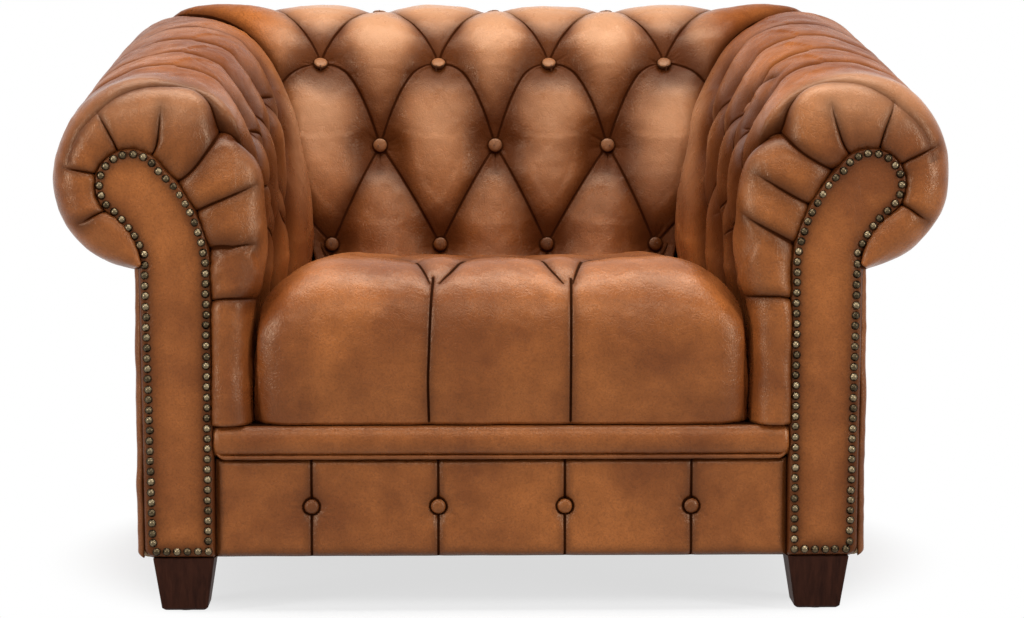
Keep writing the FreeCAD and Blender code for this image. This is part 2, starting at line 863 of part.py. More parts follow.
def twine_ends():
    # Each twine runs from under its button to the webbing, or to the top rail behind the roll.
    top, middle, low, over = back_places()
    rail_top_z = post_top + top_rail_height
    rail_middle_y = back_rail_front_y + twine_anchor_depth
    ends = []
    for place in low:
        point, outward = back_surface(*place)
        ends.append((point - outward * tuft_depth, vector(place[0], back_hollow_y, place[1])))
    for place in middle:
        point, outward = back_surface(*place)
        ends.append((point - outward * tuft_depth,
                     vector(place[0], back_rail_front_y, rail_top_z - twine_anchor_depth)))
    for place in top:
        point, outward = back_surface(*place)
        ends.append((point - outward * tuft_depth, vector(place[0], rail_middle_y, rail_top_z)))
    for place in over:
        point, outward = back_over(*place)
        ends.append((point - outward * back_over_depth, vector(place[0], rail_middle_y, rail_top_z)))
    return ends


def twine(start, end, gap):
    heading = (end - start).normalize()
    length = (end - start).Length - clearance * 2
    return cylinder(twine_diameter + gap, start + heading * clearance, heading, length)


back_length = roll_center_x + roll_radius_rear
top_rail_front_y = back_rail_front_y
back_pad = Part.Face(back_wire(-back_length)).extrude(vector(back_length * 2, 0, 0))
front_room = miter_prism(False)
back_pad = back_pad.cut(front_room)
back_pad = back_pad.cut(mirrored(front_room))
back_pad = back_pad.cut(corner_room())
back_pad = back_pad.cut(mirrored(corner_room()))
top_rail = box(-top_rail_half_length, top_rail_half_length, top_rail_front_y,
               top_rail_front_y + top_rail_thickness, post_top, post_top + top_rail_height)
top_rail_room = box(-top_rail_half_length - clearance, top_rail_half_length + clearance,
                    top_rail_front_y - clearance, top_rail_front_y + top_rail_thickness + clearance,
                    post_top - overrun, post_top + top_rail_height + clearance)
back_foam = box(-back_foam_half_width, back_foam_half_width, back_foam_face_y,
                back_hollow_y, deck_height + clearance, back_foam_top)
back_foam_room = box(-back_foam_half_width - clearance, back_foam_half_width + clearance,
                     back_foam_face_y - clearance, back_hollow_y + overrun, deck_height - overrun,
                     back_foam_top + clearance)
back_pad = back_pad.cut(top_rail_room)
back_pad = back_pad.cut(Part.makeCompound([rear_board_room, mirrored(rear_board_room),
                                           arm_slat(clearance), mirrored(arm_slat(clearance))]))
back_pad = back_pad.cut(back_foam_room)
back_pad = back_pad.cut(Part.makeCompound(back_cutters()))
back_pad = back_pad.cut(Part.makeCompound([twine(*ends, clearance) for ends in twine_ends()]))
back_pad = largest(back_pad)
print("back pad faces:", len(back_pad.Faces), "valid:", back_pad.isValid())
save("back_pad", back_pad)
twine_rooms = Part.makeCompound([twine(*ends, clearance) for ends in twine_ends()])
save("back_foam_core", back_foam.cut(twine_rooms))
save("back_tuft_twine", Part.makeCompound([twine(*ends, 0) for ends in twine_ends()]))

back_top, back_middle, back_low, back_hidden = back_places()
back_buttons = []
for place in back_top + back_middle + back_low:
    point, outward = back_surface(*place)
    back_buttons.append(button(point - outward * tuft_depth, outward))
for place in back_hidden:
    point, outward = back_over(*place)
    back_buttons.append(button(point - outward * back_over_depth, outward))
save("back_buttons", Part.makeCompound(back_buttons))


# Seat: sections along X of one front-to-back profile.
def seat_profile(x, drop, inset):
    crown = seat_crown - drop
    toe = vector(x, seat_toe_y + inset, deck_height)
    belly_z = deck_height + (crown - deck_height) * seat_belly_share
    brow_z = deck_height + (crown - deck_height) * seat_brow_share
    belly = vector(x, seat_front_y + inset, belly_z)
    brow = vector(x, seat_front_y + inset + seat_brow_inset, brow_z)
    nose = vector(x, seat_front_y + inset + seat_nose_inset, crown - seat_nose_drop)
    top = vector(x, seat_crown_y, crown)
    rear = vector(x, seat_rear_y, crown - seat_rear_drop)
    rise = vector(x, (seat_crown_y + seat_rear_y) / 2, crown - seat_rear_drop * seat_rise_share)
    heel = vector(x, seat_rear_y, deck_height)
    return Part.Wire([
        arc(toe, belly, brow),
        arc(brow, nose, top),
        arc(top, rise, rear),
        line(rear, heel),
        line(heel, toe),
    ])


def seat_sections():
    half = [
        (seat_shoulder_share, seat_shoulder_drop, 0),
        (seat_turn_share, seat_turn_drop, 0),
        (seat_side_share, seat_side_drop, seat_side_inset),
        (1, seat_edge_drop, seat_edge_inset),
    ]
    left = [seat_profile(-seat_half_width * share, drop, inset) for share, drop, inset in reversed(half)]
    right = [seat_profile(seat_half_width * share, drop, inset) for share, drop, inset in half]
    return left + [seat_profile(0, 0, 0)] + right


def seat_top(x, y):
    # A point and normal on the top of the seat, taken as a gentle slope.
    fall = seat_rear_drop * (y - seat_crown_y) / (seat_rear_y - seat_crown_y)
    side = seat_shoulder_drop * abs(x) / (seat_half_width * seat_shoulder_share)
    return vector(x, y, seat_crown - max(fall, 0) - side), vector(0, 0, 1)


def seam_groove(x):
    # The sewn line down the front, over the nose, to the first row of tufts.
    drop = seat_shoulder_drop * abs(x) / (seat_half_width * seat_shoulder_share)
    profile = seat_profile(x, drop, 0)
    stations = []
    for edge in profile.Edges[:2]:
        for share in seam_shares:
            parameter = edge.FirstParameter + (edge.LastParameter - edge.FirstParameter) * share
            tangent = edge.tangentAt(parameter)
            outward = tangent.cross(vector(1, 0, 0)).normalize()
            if outward.y > 0 or outward.z < -0.5:
                outward = outward * -1
            stations.append((edge.valueAt(parameter), outward, seam_depth))
    stations.sort(key=lambda station: (station[0].z, station[0].y))
    return groove(stations, seam_half_width)


def seat_places():
    rows = []
    for index in range(seat_row_count):
        y = seat_row_y + seat_row_pitch * index
        steps = (-1, 1) if index % 2 == 0 else (-2, 0, 2)
        rows.append([(seam_x * step, y) for step in steps])
    return rows


def seat_cutters():
    rows = seat_places()
    cutters = [seam_groove(-seam_x), seam_groove(seam_x)]
    for row in rows:
        cutters += [pocket(*seat_top(*place), seat_tuft_depth) for place in row]
    for first, second in zip(rows, rows[1:]):
        for start in first:
            for end in second:
                if abs(start[0] - end[0]) < seam_x * 1.5:
                    cutters.append(crease_between(seat_top, start, end, seat_tuft_depth * crease_end_share,
                                                  seat_crease_depth, crease_half_width))
    return cutters


def seat_side_room():
    # The wedge beside the seat that the arm pad fills, along the waist of the arm.
    far_x = waist_x_front + overrun
    far_y = seat_rear_y + overrun
    waist_points = [vector(waist_x_front - clearance, roll_full_y, 0)]
    for y in (roll_middle_y, seat_rear_y):
        waist = arm_section_at(y)["waist"]
        waist_points.append(vector(waist.x - seat_side_gap, y, 0))
    last = waist_points[-1]
    points = waist_points + [vector(last.x, far_y, 0), vector(far_x, far_y, 0)]
    points.append(vector(far_x, roll_full_y, 0))
    return prism(points, vector(0, 0, half_depth * 2))


seat_cover = Part.makeLoft(seat_sections(), True, True)
side_room = seat_side_room()
seat_cover = seat_cover.cut(side_room)
seat_cover = seat_cover.cut(mirrored(side_room))
foam_core = box(-foam_half_width, foam_half_width, foam_front_y, foam_rear_y,
                rail_top + spring_wire * 2 + deck_cloth + clearance * 2, foam_top)
foam_room = box(-foam_half_width - clearance, foam_half_width + clearance, foam_front_y - clearance,
                foam_rear_y + clearance, deck_height - overrun, foam_top + clearance)
seat_cover = seat_cover.cut(foam_room)
seat_cover = seat_cover.cut(Part.makeCompound(seat_cutters()))
seat_cover = largest(seat_cover)
print("seat cover faces:", len(seat_cover.Faces), "valid:", seat_cover.isValid())
save("seat_cover", seat_cover)
save("seat_foam_core", foam_core)
seat_buttons = []
for row in seat_places():
    for place in row:
        point, outward = seat_top(*place)
        seat_buttons.append(button(point - outward * seat_tuft_depth, outward))
save("seat_buttons", Part.makeCompound(seat_buttons))


# Front rail covering.
apron_half = facing_inner_x - clearance
apron = box(-apron_half, apron_half, apron_front_y, apron_back_y, panel_bottom, apron_top)
apron_pleats = [apron_pleat_pitch * step for step in (-1.5, -0.5, 0.5, 1.5)]
pleat_cutters = []
for x in apron_pleats:
    pleat_cutters.append(prism([
        vector(x - apron_pleat_half_width, apron_front_y - clearance, panel_bottom - overrun),
        vector(x + apron_pleat_half_width, apron_front_y - clearance, panel_bottom - overrun),
        vector(x, apron_front_y + apron_pleat_depth, panel_bottom - overrun),
    ], vector(0, 0, apron_top + overrun * 2)))
    place = vector(x, apron_front_y, apron_button_z)
    pleat_cutters.append(pocket(place, vector(0, -1, 0), apron_pleat_depth))
apron = apron.cut(Part.makeCompound(pleat_cutters))
save("front_apron", apron)
apron_buttons = [
    button(vector(x, apron_front_y + apron_pleat_depth, apron_button_z), vector(0, -1, 0))
    for x in apron_pleats
]
save("apron_buttons", Part.makeCompound(apron_buttons))

band_middle = (band_bottom + band_top) / 2
band_face = Part.Wire([
    arc(vector(-apron_half, band_edge_y, band_bottom), vector(-apron_half, band_front_y, band_middle),
        vector(-apron_half, band_edge_y, band_top)),
    line(vector(-apron_half, band_edge_y, band_top), vector(-apron_half, apron_back_y, band_top)),
    line(vector(-apron_half, apron_back_y, band_top), vector(-apron_half, apron_back_y, band_bottom)),
    line(vector(-apron_half, apron_back_y, band_bottom), vector(-apron_half, band_edge_y, band_bottom)),
])
save("front_band", Part.Face(band_face).extrude(vector(apron_half * 2, 0, 0)))
welt_center_z = (apron_top + band_bottom) / 2
welt_center_y = apron_front_y - welt_diameter / 2 - clearance
welt = cylinder(welt_diameter, vector(-apron_half, welt_center_y, welt_center_z), vector(1, 0, 0),
                apron_half * 2)
welt_flange_solid = box(-apron_half, apron_half, welt_center_y, apron_back_y,
                        welt_center_z - welt_flange / 2, welt_center_z + welt_flange / 2)
save("front_welt", welt.fuse(welt_flange_solid).removeSplitter())


# Base frame: rails between corner blocks, pinned with dowels and screws.
front_rail_y = board_back_y
front_rail_back_y = front_rail_y + front_rail_thickness
block_inner_x = leg_x - block_width / 2
block_front_y = front_rail_y
block_rear_y = back_rail_rear_y
joint_z = base_height + block_height / 2


def screw(head_point, heading):
    shank = cylinder(screw_diameter, head_point, heading, screw_length)
    head = cylinder(screw_head, head_point - heading * screw_head_height, heading, screw_head_height)
    return shank.fuse(head).removeSplitter()


def dowel(center, heading, gap):
    length = dowel_length + gap * 2
    return cylinder(dowel_diameter + gap, center - heading * (length / 2), heading, length)


dowel_seats = []
screw_seats = []
for side in (-1, 1):
    for y in (front_rail_y + front_rail_thickness / 2, back_rail_front_y + back_rail_thickness / 2):
        dowel_seats.append((vector(block_inner_x * side, y, joint_z), vector(1, 0, 0)))
    for y in (block_front_y + screw_inset, block_rear_y - screw_inset):
        screw_seats.append((vector(block_inner_x * side, y, joint_z), vector(side, 0, 0)))
post_y = back_rail_front_y + back_rail_thickness / 2
for x in (-post_x, 0, post_x):
    for z in (rail_top, post_top):
        dowel_seats.append((vector(x, post_y, z), vector(0, 0, 1)))
joint_holes = Part.makeCompound(
    [dowel(center, heading, clearance) for center, heading in dowel_seats]
    + [cylinder(screw_diameter + clearance, start - heading * overrun, heading,
                screw_length + overrun + clearance) for start, heading in screw_seats])
save("frame_dowels", Part.makeCompound([dowel(center, heading, 0) for center, heading in dowel_seats]))
save("block_screws", Part.makeCompound([screw(start, heading) for start, heading in screw_seats]))

side_rail_bored = side_rail.cut(joint_holes)
save_pair("side_rail", side_rail_bored)
front_rail = box(-block_inner_x, block_inner_x, front_rail_y, front_rail_back_y, rail_bottom, rail_top)
save("front_rail", front_rail.cut(joint_holes))
back_rail = box(-block_inner_x, block_inner_x, back_rail_front_y, back_rail_rear_y,
                rail_bottom, rail_top)
save("back_rail", back_rail.cut(joint_holes))
save("spring_rail", box(-side_rail_inner_x, side_rail_inner_x, spring_rail_y,
                        spring_rail_y + spring_rail_thickness, rail_top - spring_rail_height, rail_top))
save("center_rail", box(-center_rail_width / 2, center_rail_width / 2, front_rail_back_y,
                        back_rail_front_y, rail_bottom, rail_bottom + center_rail_height))
save("back_top_rail", top_rail.cut(joint_holes))


def corner_block(low_y, bore_y):
    # A block in the corner of the base, over a leg, bored for the tee nut.
    block = box(block_inner_x, side_rail_inner_x, low_y, low_y + block_depth,
                base_height, base_height + block_height)
    bore_base = vector(leg_x, bore_y, base_height - clearance)
    bore = cylinder(nut_diameter + clearance * 2, bore_base, vector(0, 0, 1), block_height + overrun)
    return block.cut(bore)


front_block = corner_block(block_front_y, leg_front_y)
rear_block = corner_block(block_rear_y - block_depth, leg_rear_y)
blocks = Part.makeCompound([front_block, rear_block, mirrored(front_block), mirrored(rear_block)])
save("corner_blocks", blocks.cut(joint_holes))


def back_post(x):
    post = box(x - post_width / 2, x + post_width / 2, back_rail_front_y, back_rail_rear_y,
               rail_top, post_top)
    return post.cut(joint_holes)


save_pair("back_post", back_post(post_x))
save("back_center_post", back_post(0))


# Outside panels and dust cover.
def outside_arm():
    # The flat outer side, whose top follows the underside of the roll.
    rear_y = outside_back_y
    front_tip = arm_section_at(board_back_y)["tip"].z
    rear_tip = arm_section_at(rear_y)["tip"].z
    x = outside_x - outside_panel_thickness
    points = [
        vector(x, board_back_y - front_board_thickness, panel_bottom),
        vector(x, rear_y, panel_bottom),
        vector(x, rear_y, rear_tip),
        vector(x, board_back_y - front_board_thickness, front_tip),
    ]
    return prism(points, vector(outside_panel_thickness, 0, 0))


outside_arm_panel = outside_arm().cut(facing_room)
save_pair("outside_arm", outside_arm_panel)
back_tip, _ = back_over(0, half_turn_degrees + roll_tip_angle)
outside_back_x = outside_x - outside_panel_thickness
save("outside_back", box(-outside_back_x, outside_back_x, outside_back_y - outside_panel_thickness,
                         outside_back_y, panel_bottom, back_tip.z - clearance))
dust_cover = box(-side_rail_outer_x, side_rail_outer_x, board_back_y,
                 back_rail_rear_y, base_height, rail_bottom)
leg_windows = []
for x in (-leg_x, leg_x):
    for y in (leg_front_y, leg_rear_y):
        reach = leg_top_width / 2 + clearance
        leg_windows.append(box(x - reach, x + reach, y - reach, y + reach, 0, rail_bottom + overrun))
        block_low_y = block_front_y if y < 0 else block_rear_y - block_depth
        block_low_x = block_inner_x if x > 0 else -side_rail_inner_x
        leg_windows.append(box(block_low_x, block_low_x + side_rail_inner_x - block_inner_x,
                               block_low_y, block_low_y + block_depth, 0, rail_bottom + overrun))
save("dust_cover", dust_cover.cut(Part.makeCompound(leg_windows)))


# Legs: square, tapering to the floor, each on a glide and held by a hanger bolt.
def square(center, width, z):
    half = width / 2
    return polygon([
        vector(center.x - half, center.y - half, z),
        vector(center.x + half, center.y - half, z),
        vector(center.x + half, center.y + half, z),
        vector(center.x - half, center.y + half, z),
    ])


glides = []
bolts = []
nuts = []
leg_names = {
    (-1, -1): "leg_front_left",
    (1, -1): "leg_front_right",
    (-1, 1): "leg_rear_left",
    (1, 1): "leg_rear_right",
}
for (side, end), leg_name in leg_names.items():
    center = vector(leg_x * side, leg_front_y if end < 0 else leg_rear_y, 0)
    leg = Part.makeLoft([square(center, leg_bottom_width, glide_height),
                         square(center, leg_top_width, base_height)], True, True)
    bolt_base = vector(center.x, center.y, base_height - bolt_in_leg)
    bolt_length = bolt_in_leg + bolt_in_block
    leg = leg.cut(cylinder(bolt_diameter + clearance, bolt_base, vector(0, 0, 1), bolt_length))
    save(leg_name, leg)
    bolts.append(cylinder(bolt_diameter, bolt_base, vector(0, 0, 1), bolt_length))
    glides.append(cylinder(glide_diameter, center, vector(0, 0, 1), glide_height))
    nut_base = vector(center.x, center.y, base_height + block_height - nut_height)
    flange_base = vector(center.x, center.y, base_height + block_height)
    nut = cylinder(nut_diameter, nut_base, vector(0, 0, 1), nut_height)
    nut = nut.fuse(cylinder(nut_flange, flange_base, vector(0, 0, 1), nut_flange_height))
    bore = cylinder(bolt_diameter + clearance, nut_base - vector(0, 0, clearance), vector(0, 0, 1),
                    nut_height + nut_flange_height + clearance * 2)
    nuts.append(nut.cut(bore))
save("leg_glides", Part.makeCompound(glides))
save("hanger_bolts", Part.makeCompound(bolts))
save("tee_nuts", Part.makeCompound(nuts))


# Suspension: sinuous springs front to back, their clips, ties and the deck cloth.
spring_z = rail_top + spring_wire / 2 + tie_wire
spring_start_y = front_rail_back_y - clip_length / 2
spring_end_y = spring_rail_y + clip_length / 2


def spring_path(x):
    # Straight legs across the spring, joined by half turns.
    span = spring_end_y - spring_start_y
    turns = int(span // (spring_loop_radius * 2))
    pitch = span / turns
    radius = pitch / 2
    half = spring_leg / 2
    edges = []
    side = 1
    for index in range(turns):
        y = spring_start_y + pitch * index
        edges.append(line(vector(x - half * side, y, spring_z), vector(x + half * side, y, spring_z)))
        edges.append(arc(vector(x + half * side, y, spring_z),
                         vector(x + (half + radius) * side, y + radius, spring_z),
                         vector(x + half * side, y + pitch, spring_z)))
        side = -side
    y = spring_start_y + pitch * turns
    edges.append(line(vector(x - half * side, y, spring_z), vector(x + half * side, y, spring_z)))
    return Part.Wire(edges)


def wire_along(path, diameter):
    start = path.Edges[0].firstVertex().Point
    heading = path.Edges[0].tangentAt(path.Edges[0].FirstParameter)
    ring = Part.Wire(Part.makeCircle(diameter / 2, start, heading))
    return path.makePipeShell([ring], True, False)


springs = []
clips = []
for index in range(spring_count):
    x = spring_pitch * (index - (spring_count - 1) / 2)
    springs.append(wire_along(spring_path(x), spring_wire))
    for y in (spring_start_y, spring_end_y):
        clip = box(x - clip_width / 2, x + clip_width / 2, y - clip_length / 2 + clearance,
                   y + clip_length / 2 - clearance, rail_top, spring_z + spring_wire)
        channel = box(x - clip_width, x + clip_width, y - spring_wire / 2 - clearance / 2,
                      y + spring_wire / 2 + clearance / 2, spring_z - spring_wire / 2 - clearance / 2,
                      spring_z + spring_wire / 2 + clearance / 2)
        clips.append(clip.cut(channel))
save("seat_springs", Part.makeCompound(springs))
save("spring_clips", Part.makeCompound(clips))
tie_half = side_rail_inner_x + side_rail_thickness / 2
tie_z = spring_z - spring_wire / 2 - tie_wire / 2
ties = []
for share in tie_shares:
    y = spring_start_y + (spring_end_y - spring_start_y) * share
    ties.append(cylinder(tie_wire, vector(-tie_half, y, tie_z), vector(1, 0, 0), tie_half * 2))
save("tie_wires", Part.makeCompound(ties))
deck_z = spring_z + spring_wire + clearance / 2
deck_half = spring_pitch * (spring_count - 1) / 2 + deck_margin
save("burlap_deck", box(-deck_half, deck_half, foam_front_y, spring_rail_y,
                        deck_z, deck_z + deck_cloth))


# Webbing stretched over the open frames of the back and the arms.
webs = []
for x in (-post_x / 2, post_x / 2):
    webs.append(box(x - webbing_width / 2, x + webbing_width / 2,
                    back_rail_front_y - webbing_thickness, back_rail_front_y,
                    rail_top - webbing_width, post_top))
save("back_webbing", Part.makeCompound(webs))
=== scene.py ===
import json
import math
import bmesh
import bpy
import numpy as np
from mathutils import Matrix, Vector, geometry

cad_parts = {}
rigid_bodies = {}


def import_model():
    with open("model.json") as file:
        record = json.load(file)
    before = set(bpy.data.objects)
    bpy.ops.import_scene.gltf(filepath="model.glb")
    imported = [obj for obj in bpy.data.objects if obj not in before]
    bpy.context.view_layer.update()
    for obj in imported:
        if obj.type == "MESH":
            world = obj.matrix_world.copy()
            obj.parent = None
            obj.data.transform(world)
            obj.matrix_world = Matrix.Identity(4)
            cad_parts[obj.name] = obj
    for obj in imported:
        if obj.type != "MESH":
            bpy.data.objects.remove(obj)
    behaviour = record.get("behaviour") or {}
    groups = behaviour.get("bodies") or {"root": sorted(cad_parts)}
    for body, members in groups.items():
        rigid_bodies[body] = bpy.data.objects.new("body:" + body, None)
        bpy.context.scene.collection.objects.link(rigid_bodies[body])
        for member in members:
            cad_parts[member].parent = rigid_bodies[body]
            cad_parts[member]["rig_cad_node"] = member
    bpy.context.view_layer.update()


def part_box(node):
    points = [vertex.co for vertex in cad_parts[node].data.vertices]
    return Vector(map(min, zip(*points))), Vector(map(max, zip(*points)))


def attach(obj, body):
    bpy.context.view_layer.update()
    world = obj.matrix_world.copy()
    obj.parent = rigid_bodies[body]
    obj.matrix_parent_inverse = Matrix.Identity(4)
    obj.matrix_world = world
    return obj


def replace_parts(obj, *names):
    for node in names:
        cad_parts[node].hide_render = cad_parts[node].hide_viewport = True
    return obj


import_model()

# The chair faces -Y, stands on z = 0 and is close to a mirror of itself about x = 0. Sizes are in
# metres. Each leather piece is a skin over a smooth surface that is measured by two lengths, u and v:
# folds and buttons are placed in u and v, and the leather's height over the surface follows from them.
MM = 0.001
MIRROR = np.array([-1, 1, 1])

# The camera stands in front of the chair, a little left of its middle.
CAMERA_PLACE = (-0.068, -4.329, 0.786)
CAMERA_AIM = (0.0132, -0.456, 0.3996)
CAMERA_LENS = 106.0

# Arms: the roll and the inner face at three places along the arm.
ARM_Y = (-0.425, -0.0465, 0.332)
ROLL_X = 0.460
ROLL_RADIUS = (0.122, 0.128, 0.130)
ROLL_Z = (0.580, 0.617, 0.656)
ROLL_SAG = 0.011
WAIST_X = (0.324, 0.290, 0.264)
WAIST_Z = (0.400, 0.415, 0.430)
FACE_X = 0.292
FACE_DROP = 0.052
FACE_SWELL = 0.007
DECK_Z = 0.2485
TIP_ANGLE = math.radians(84)
TURN_START_Y = -0.418
TURN_DEPTH = 0.045
TURN_ANGLE = math.radians(125)
TURN_LENGTH = 0.112
TUCK = 0.008
MITER_OVERLAP = 0.012
MITER_FIRST_Y, MITER_ROUNDS = 0.2, 6

# Back.
BACK_RADIUS = 0.126
BACK_CENTER_Y = 0.332
BACK_CENTER_Z = 0.668
BACK_FOOT_Y = 0.152
BACK_FOOT_Z = 0.400
BACK_LEAN = math.radians(11.3)
CORNER_X = 0.460
MITER_FOOT_X = 0.256

# Facing outline.
FACING_IN_X = 0.372
FACING_OUT_X = 0.4695
FACING_TAPER = 0.004
FACING_FRONT_Y = -0.456
SCROLL_X = 0.4765
SCROLL_Z = 0.560
SCROLL_RADIUS = 0.0495
SCROLL_BROW = math.radians(151)
SCROLL_CHIN = math.radians(-52)
FACING_WAIST_Z = 0.392
THROAT_TUCK = 0.010
CHIN_HOLLOW = 0.0062
SCROLL_NECK_Z = 0.458
SCROLL_THROAT_Z = 0.470
SCROLL_SWELL = 0.009
BASE_Z = 0.074
FACING_CORNER = 0.014

# Seat.
SEAT_HALF = 0.3205
SEAT_FRONT_Y = -0.458
SEAT_CROWN_Z = 0.458
SEAT_CROWN_Y = -0.345
SEAT_REAR_Y = 0.170
SEAT_MIDDLE_DROP = 0.013
SEAT_REAR_DROP = 0.046
SEAT_SEAM_X = 0.0935

# How the leather is drawn in.
PUFF = 0.034
ARM_PUFF = 0.040
PUFF_WIDTH = 0.030
PUFF_POWER = 0.95
LIFT = 0.0045
LINE_REACH = 0.0019
ARM_LIFT = 0.012


# Grid surfaces.

def arc_through(start, via, end, share):
    """Points at each share of the way along the circle arcs through three points in a plane."""
    ax, az = start[..., 0], start[..., 1]
    bx, bz = via[..., 0], via[..., 1]
    cx, cz = end[..., 0], end[..., 1]
    d = 2 * (ax * (bz - cz) + bx * (cz - az) + cx * (az - bz))
    ux = ((ax**2 + az**2) * (bz - cz) + (bx**2 + bz**2) * (cz - az) + (cx**2 + cz**2) * (az - bz)) / d
    uz = ((ax**2 + az**2) * (cx - bx) + (bx**2 + bz**2) * (ax - cx) + (cx**2 + cz**2) * (bx - ax)) / d
    radius = np.hypot(ax - ux, az - uz)
    first = np.arctan2(az - uz, ax - ux)
    middle = np.arctan2(bz - uz, bx - ux)
    last = np.arctan2(cz - uz, cx - ux)
    turn = 2 * math.pi
    forward = (middle - first) % turn <= (last - first) % turn
    sweep = np.where(forward, (last - first) % turn, -((first - last) % turn))
    angle = first + sweep * share
    return np.stack([ux + radius * np.cos(angle), uz + radius * np.sin(angle)], axis=-1)


def smooth_rows(rows, sigma):
    """Rounds off kinks along the second axis, with the ends held in place."""
    reach = int(sigma * 3)
    weights = np.exp(-0.5 * (np.arange(-reach, reach + 1) / sigma) ** 2)
    weights /= weights.sum()
    first = 2 * rows[:, :1] - rows[:, reach:0:-1]
    last = 2 * rows[:, -1:] - rows[:, -2:-reach - 2:-1]
    long = np.concatenate([first, rows, last], axis=1)
    out = np.zeros_like(rows)
    for index, weight in enumerate(weights):
        out += weight * long[:, index:index + rows.shape[1]]
    return out


class Surface:
    """A grid of points over two lengths, u and v, read with straight interpolation."""

    def __init__(self, u_axis, v_axis, points, sign):
        self.u_axis, self.v_axis, self.points = u_axis, v_axis, points
        along_u = np.gradient(points, axis=0)
        along_v = np.gradient(points, axis=1)
        normal = np.cross(along_u, along_v) * sign
        size = np.linalg.norm(normal, axis=2, keepdims=True)
        self.normals = normal / np.maximum(size, 1e-12)

    def at(self, u, v):
        iu = np.clip((u - self.u_axis[0]) / (self.u_axis[1] - self.u_axis[0]), 0, len(self.u_axis) - 1.001)
        iv = np.clip((v - self.v_axis[0]) / (self.v_axis[1] - self.v_axis[0]), 0, len(self.v_axis) - 1.001)
        a, b = iu.astype(int), iv.astype(int)
        fu, fv = (iu - a)[:, None], (iv - b)[:, None]

        def mix(grid):
            return ((grid[a, b] * (1 - fu) + grid[a + 1, b] * fu) * (1 - fv)
                    + (grid[a, b + 1] * (1 - fu) + grid[a + 1, b + 1] * fu) * fv)

        normal = mix(self.normals)
        normal /= np.linalg.norm(normal, axis=1, keepdims=True)
        return mix(self.points), normal


# Arm section and surface.

# Places along the facing's outline at which its curves meet.
NECK_W, BROW_W, TOP_W, OUTER_W, CHIN_W = 1.9, 2.45, 3.0, 4.0, 4.5


def facing_in_place(w):
    """x and z on the facing's outline, a little inside it, for places from 0 at its inner foot to 5."""
    left, radius = FACING_IN_X + TUCK, SCROLL_RADIUS - TUCK

    def on_scroll(angle):
        return np.array([SCROLL_X + radius * math.cos(angle), SCROLL_Z + radius * math.sin(angle)])

    def arc(start, via, end, share):
        start, via, end = (np.tile(point, (len(w), 1)) for point in (start, via, end))
        return arc_through(start, via, end, np.clip(share, 0, 1))

    neck, brow, chin = np.array([left, SCROLL_NECK_Z]), on_scroll(SCROLL_BROW), on_scroll(SCROLL_CHIN)
    throat = np.array([FACING_OUT_X - TUCK, SCROLL_THROAT_Z - THROAT_TUCK])
    hollow = (neck + brow) / 2 + np.array([-SCROLL_SWELL, SCROLL_SWELL])
    under_chin = (chin + throat) / 2 + np.array([-CHIN_HOLLOW, 1.5 * CHIN_HOLLOW])
    angle = np.interp(w, (BROW_W, TOP_W, OUTER_W, CHIN_W), (SCROLL_BROW, math.pi / 2, 0, SCROLL_CHIN))
    around = np.stack([SCROLL_X + radius * np.cos(angle), SCROLL_Z + radius * np.sin(angle)], axis=-1)
    upright = np.interp(w, (0.0, 1.0, NECK_W), (DECK_Z, FACING_WAIST_Z, SCROLL_NECK_Z))
    out = np.stack([np.full_like(w, left), upright], axis=-1)
    for first_w, curve in (
        (NECK_W, arc(neck, hollow, brow, (w - NECK_W) / (BROW_W - NECK_W))),
        (BROW_W, around),
        (CHIN_W, arc(chin, under_chin, throat, (w - CHIN_W) / (5 - CHIN_W))),
    ):
        out = np.where((w > first_w)[:, None], curve, out)
    return out


# Lengths along the section at which the arcs meet: foot, waist, face, crest, outer, tip.
ARM_V = (0.0, 0.160, 0.292, 0.552, 0.752, 0.930)
ARM_PLACES = range(len(ARM_V))
SHOULDER = np.array([0.73, 0.30])
ARM_REACH = 0.90
ARM_SMOOTHING = 5
GRID = 0.003


def arm_section(y, w):
    """Points of the arm section at y for places w from 0, the foot, to 5, the lower tip."""
    radius = np.interp(y, ARM_Y, ROLL_RADIUS)
    center_z = np.interp(y, ARM_Y, ROLL_Z)
    waist_x = np.interp(y, ARM_Y, WAIST_X)
    waist_z = np.interp(y, ARM_Y, WAIST_Z)
    foot = np.stack([waist_x, np.full_like(y, DECK_Z)], -1)
    waist = np.stack([waist_x, waist_z], -1)
    face = np.stack([np.full_like(y, FACE_X), center_z - FACE_DROP], -1)
    crest = np.stack([np.full_like(y, ROLL_X), center_z + radius], -1)
    swell = (waist + face) / 2 + np.array([-FACE_SWELL, 0])
    shoulder = crest + (face - crest) * SHOULDER
    center = np.stack([np.full_like(y, ROLL_X), center_z], -1)
    out = foot + (waist - foot) * np.clip(w, 0, 1)[:, None]
    lower = arc_through(waist, swell, face, np.clip(w - 1, 0, 1))
    upper = arc_through(face, shoulder, crest, np.clip(w - 2, 0, 1))
    out = np.where((w > 1)[:, None], lower, out)
    out = np.where((w > 2)[:, None], upper, out)
    below = np.clip(w - 4, 0, 1) * TIP_ANGLE
    angle = math.pi / 2 - np.clip(w - 3, 0, 1) * math.pi / 2 - below
    reach = radius + ROLL_SAG * np.sin(below)
    around = center + reach[:, None] * np.stack([np.cos(angle), np.sin(angle)], -1)
    return np.where((w > 3)[:, None], around, out)


def round_corner(beyond, reach):
    """Where a place goes that lies a length beyond a corner, on a circle of the given reach round it."""
    turned = reach > 1 * MM
    angle = np.clip(np.where(turned, beyond / np.maximum(reach, 1 * MM), 0), 0, math.pi / 2)
    return turned, reach * np.cos(angle), reach * np.sin(angle)


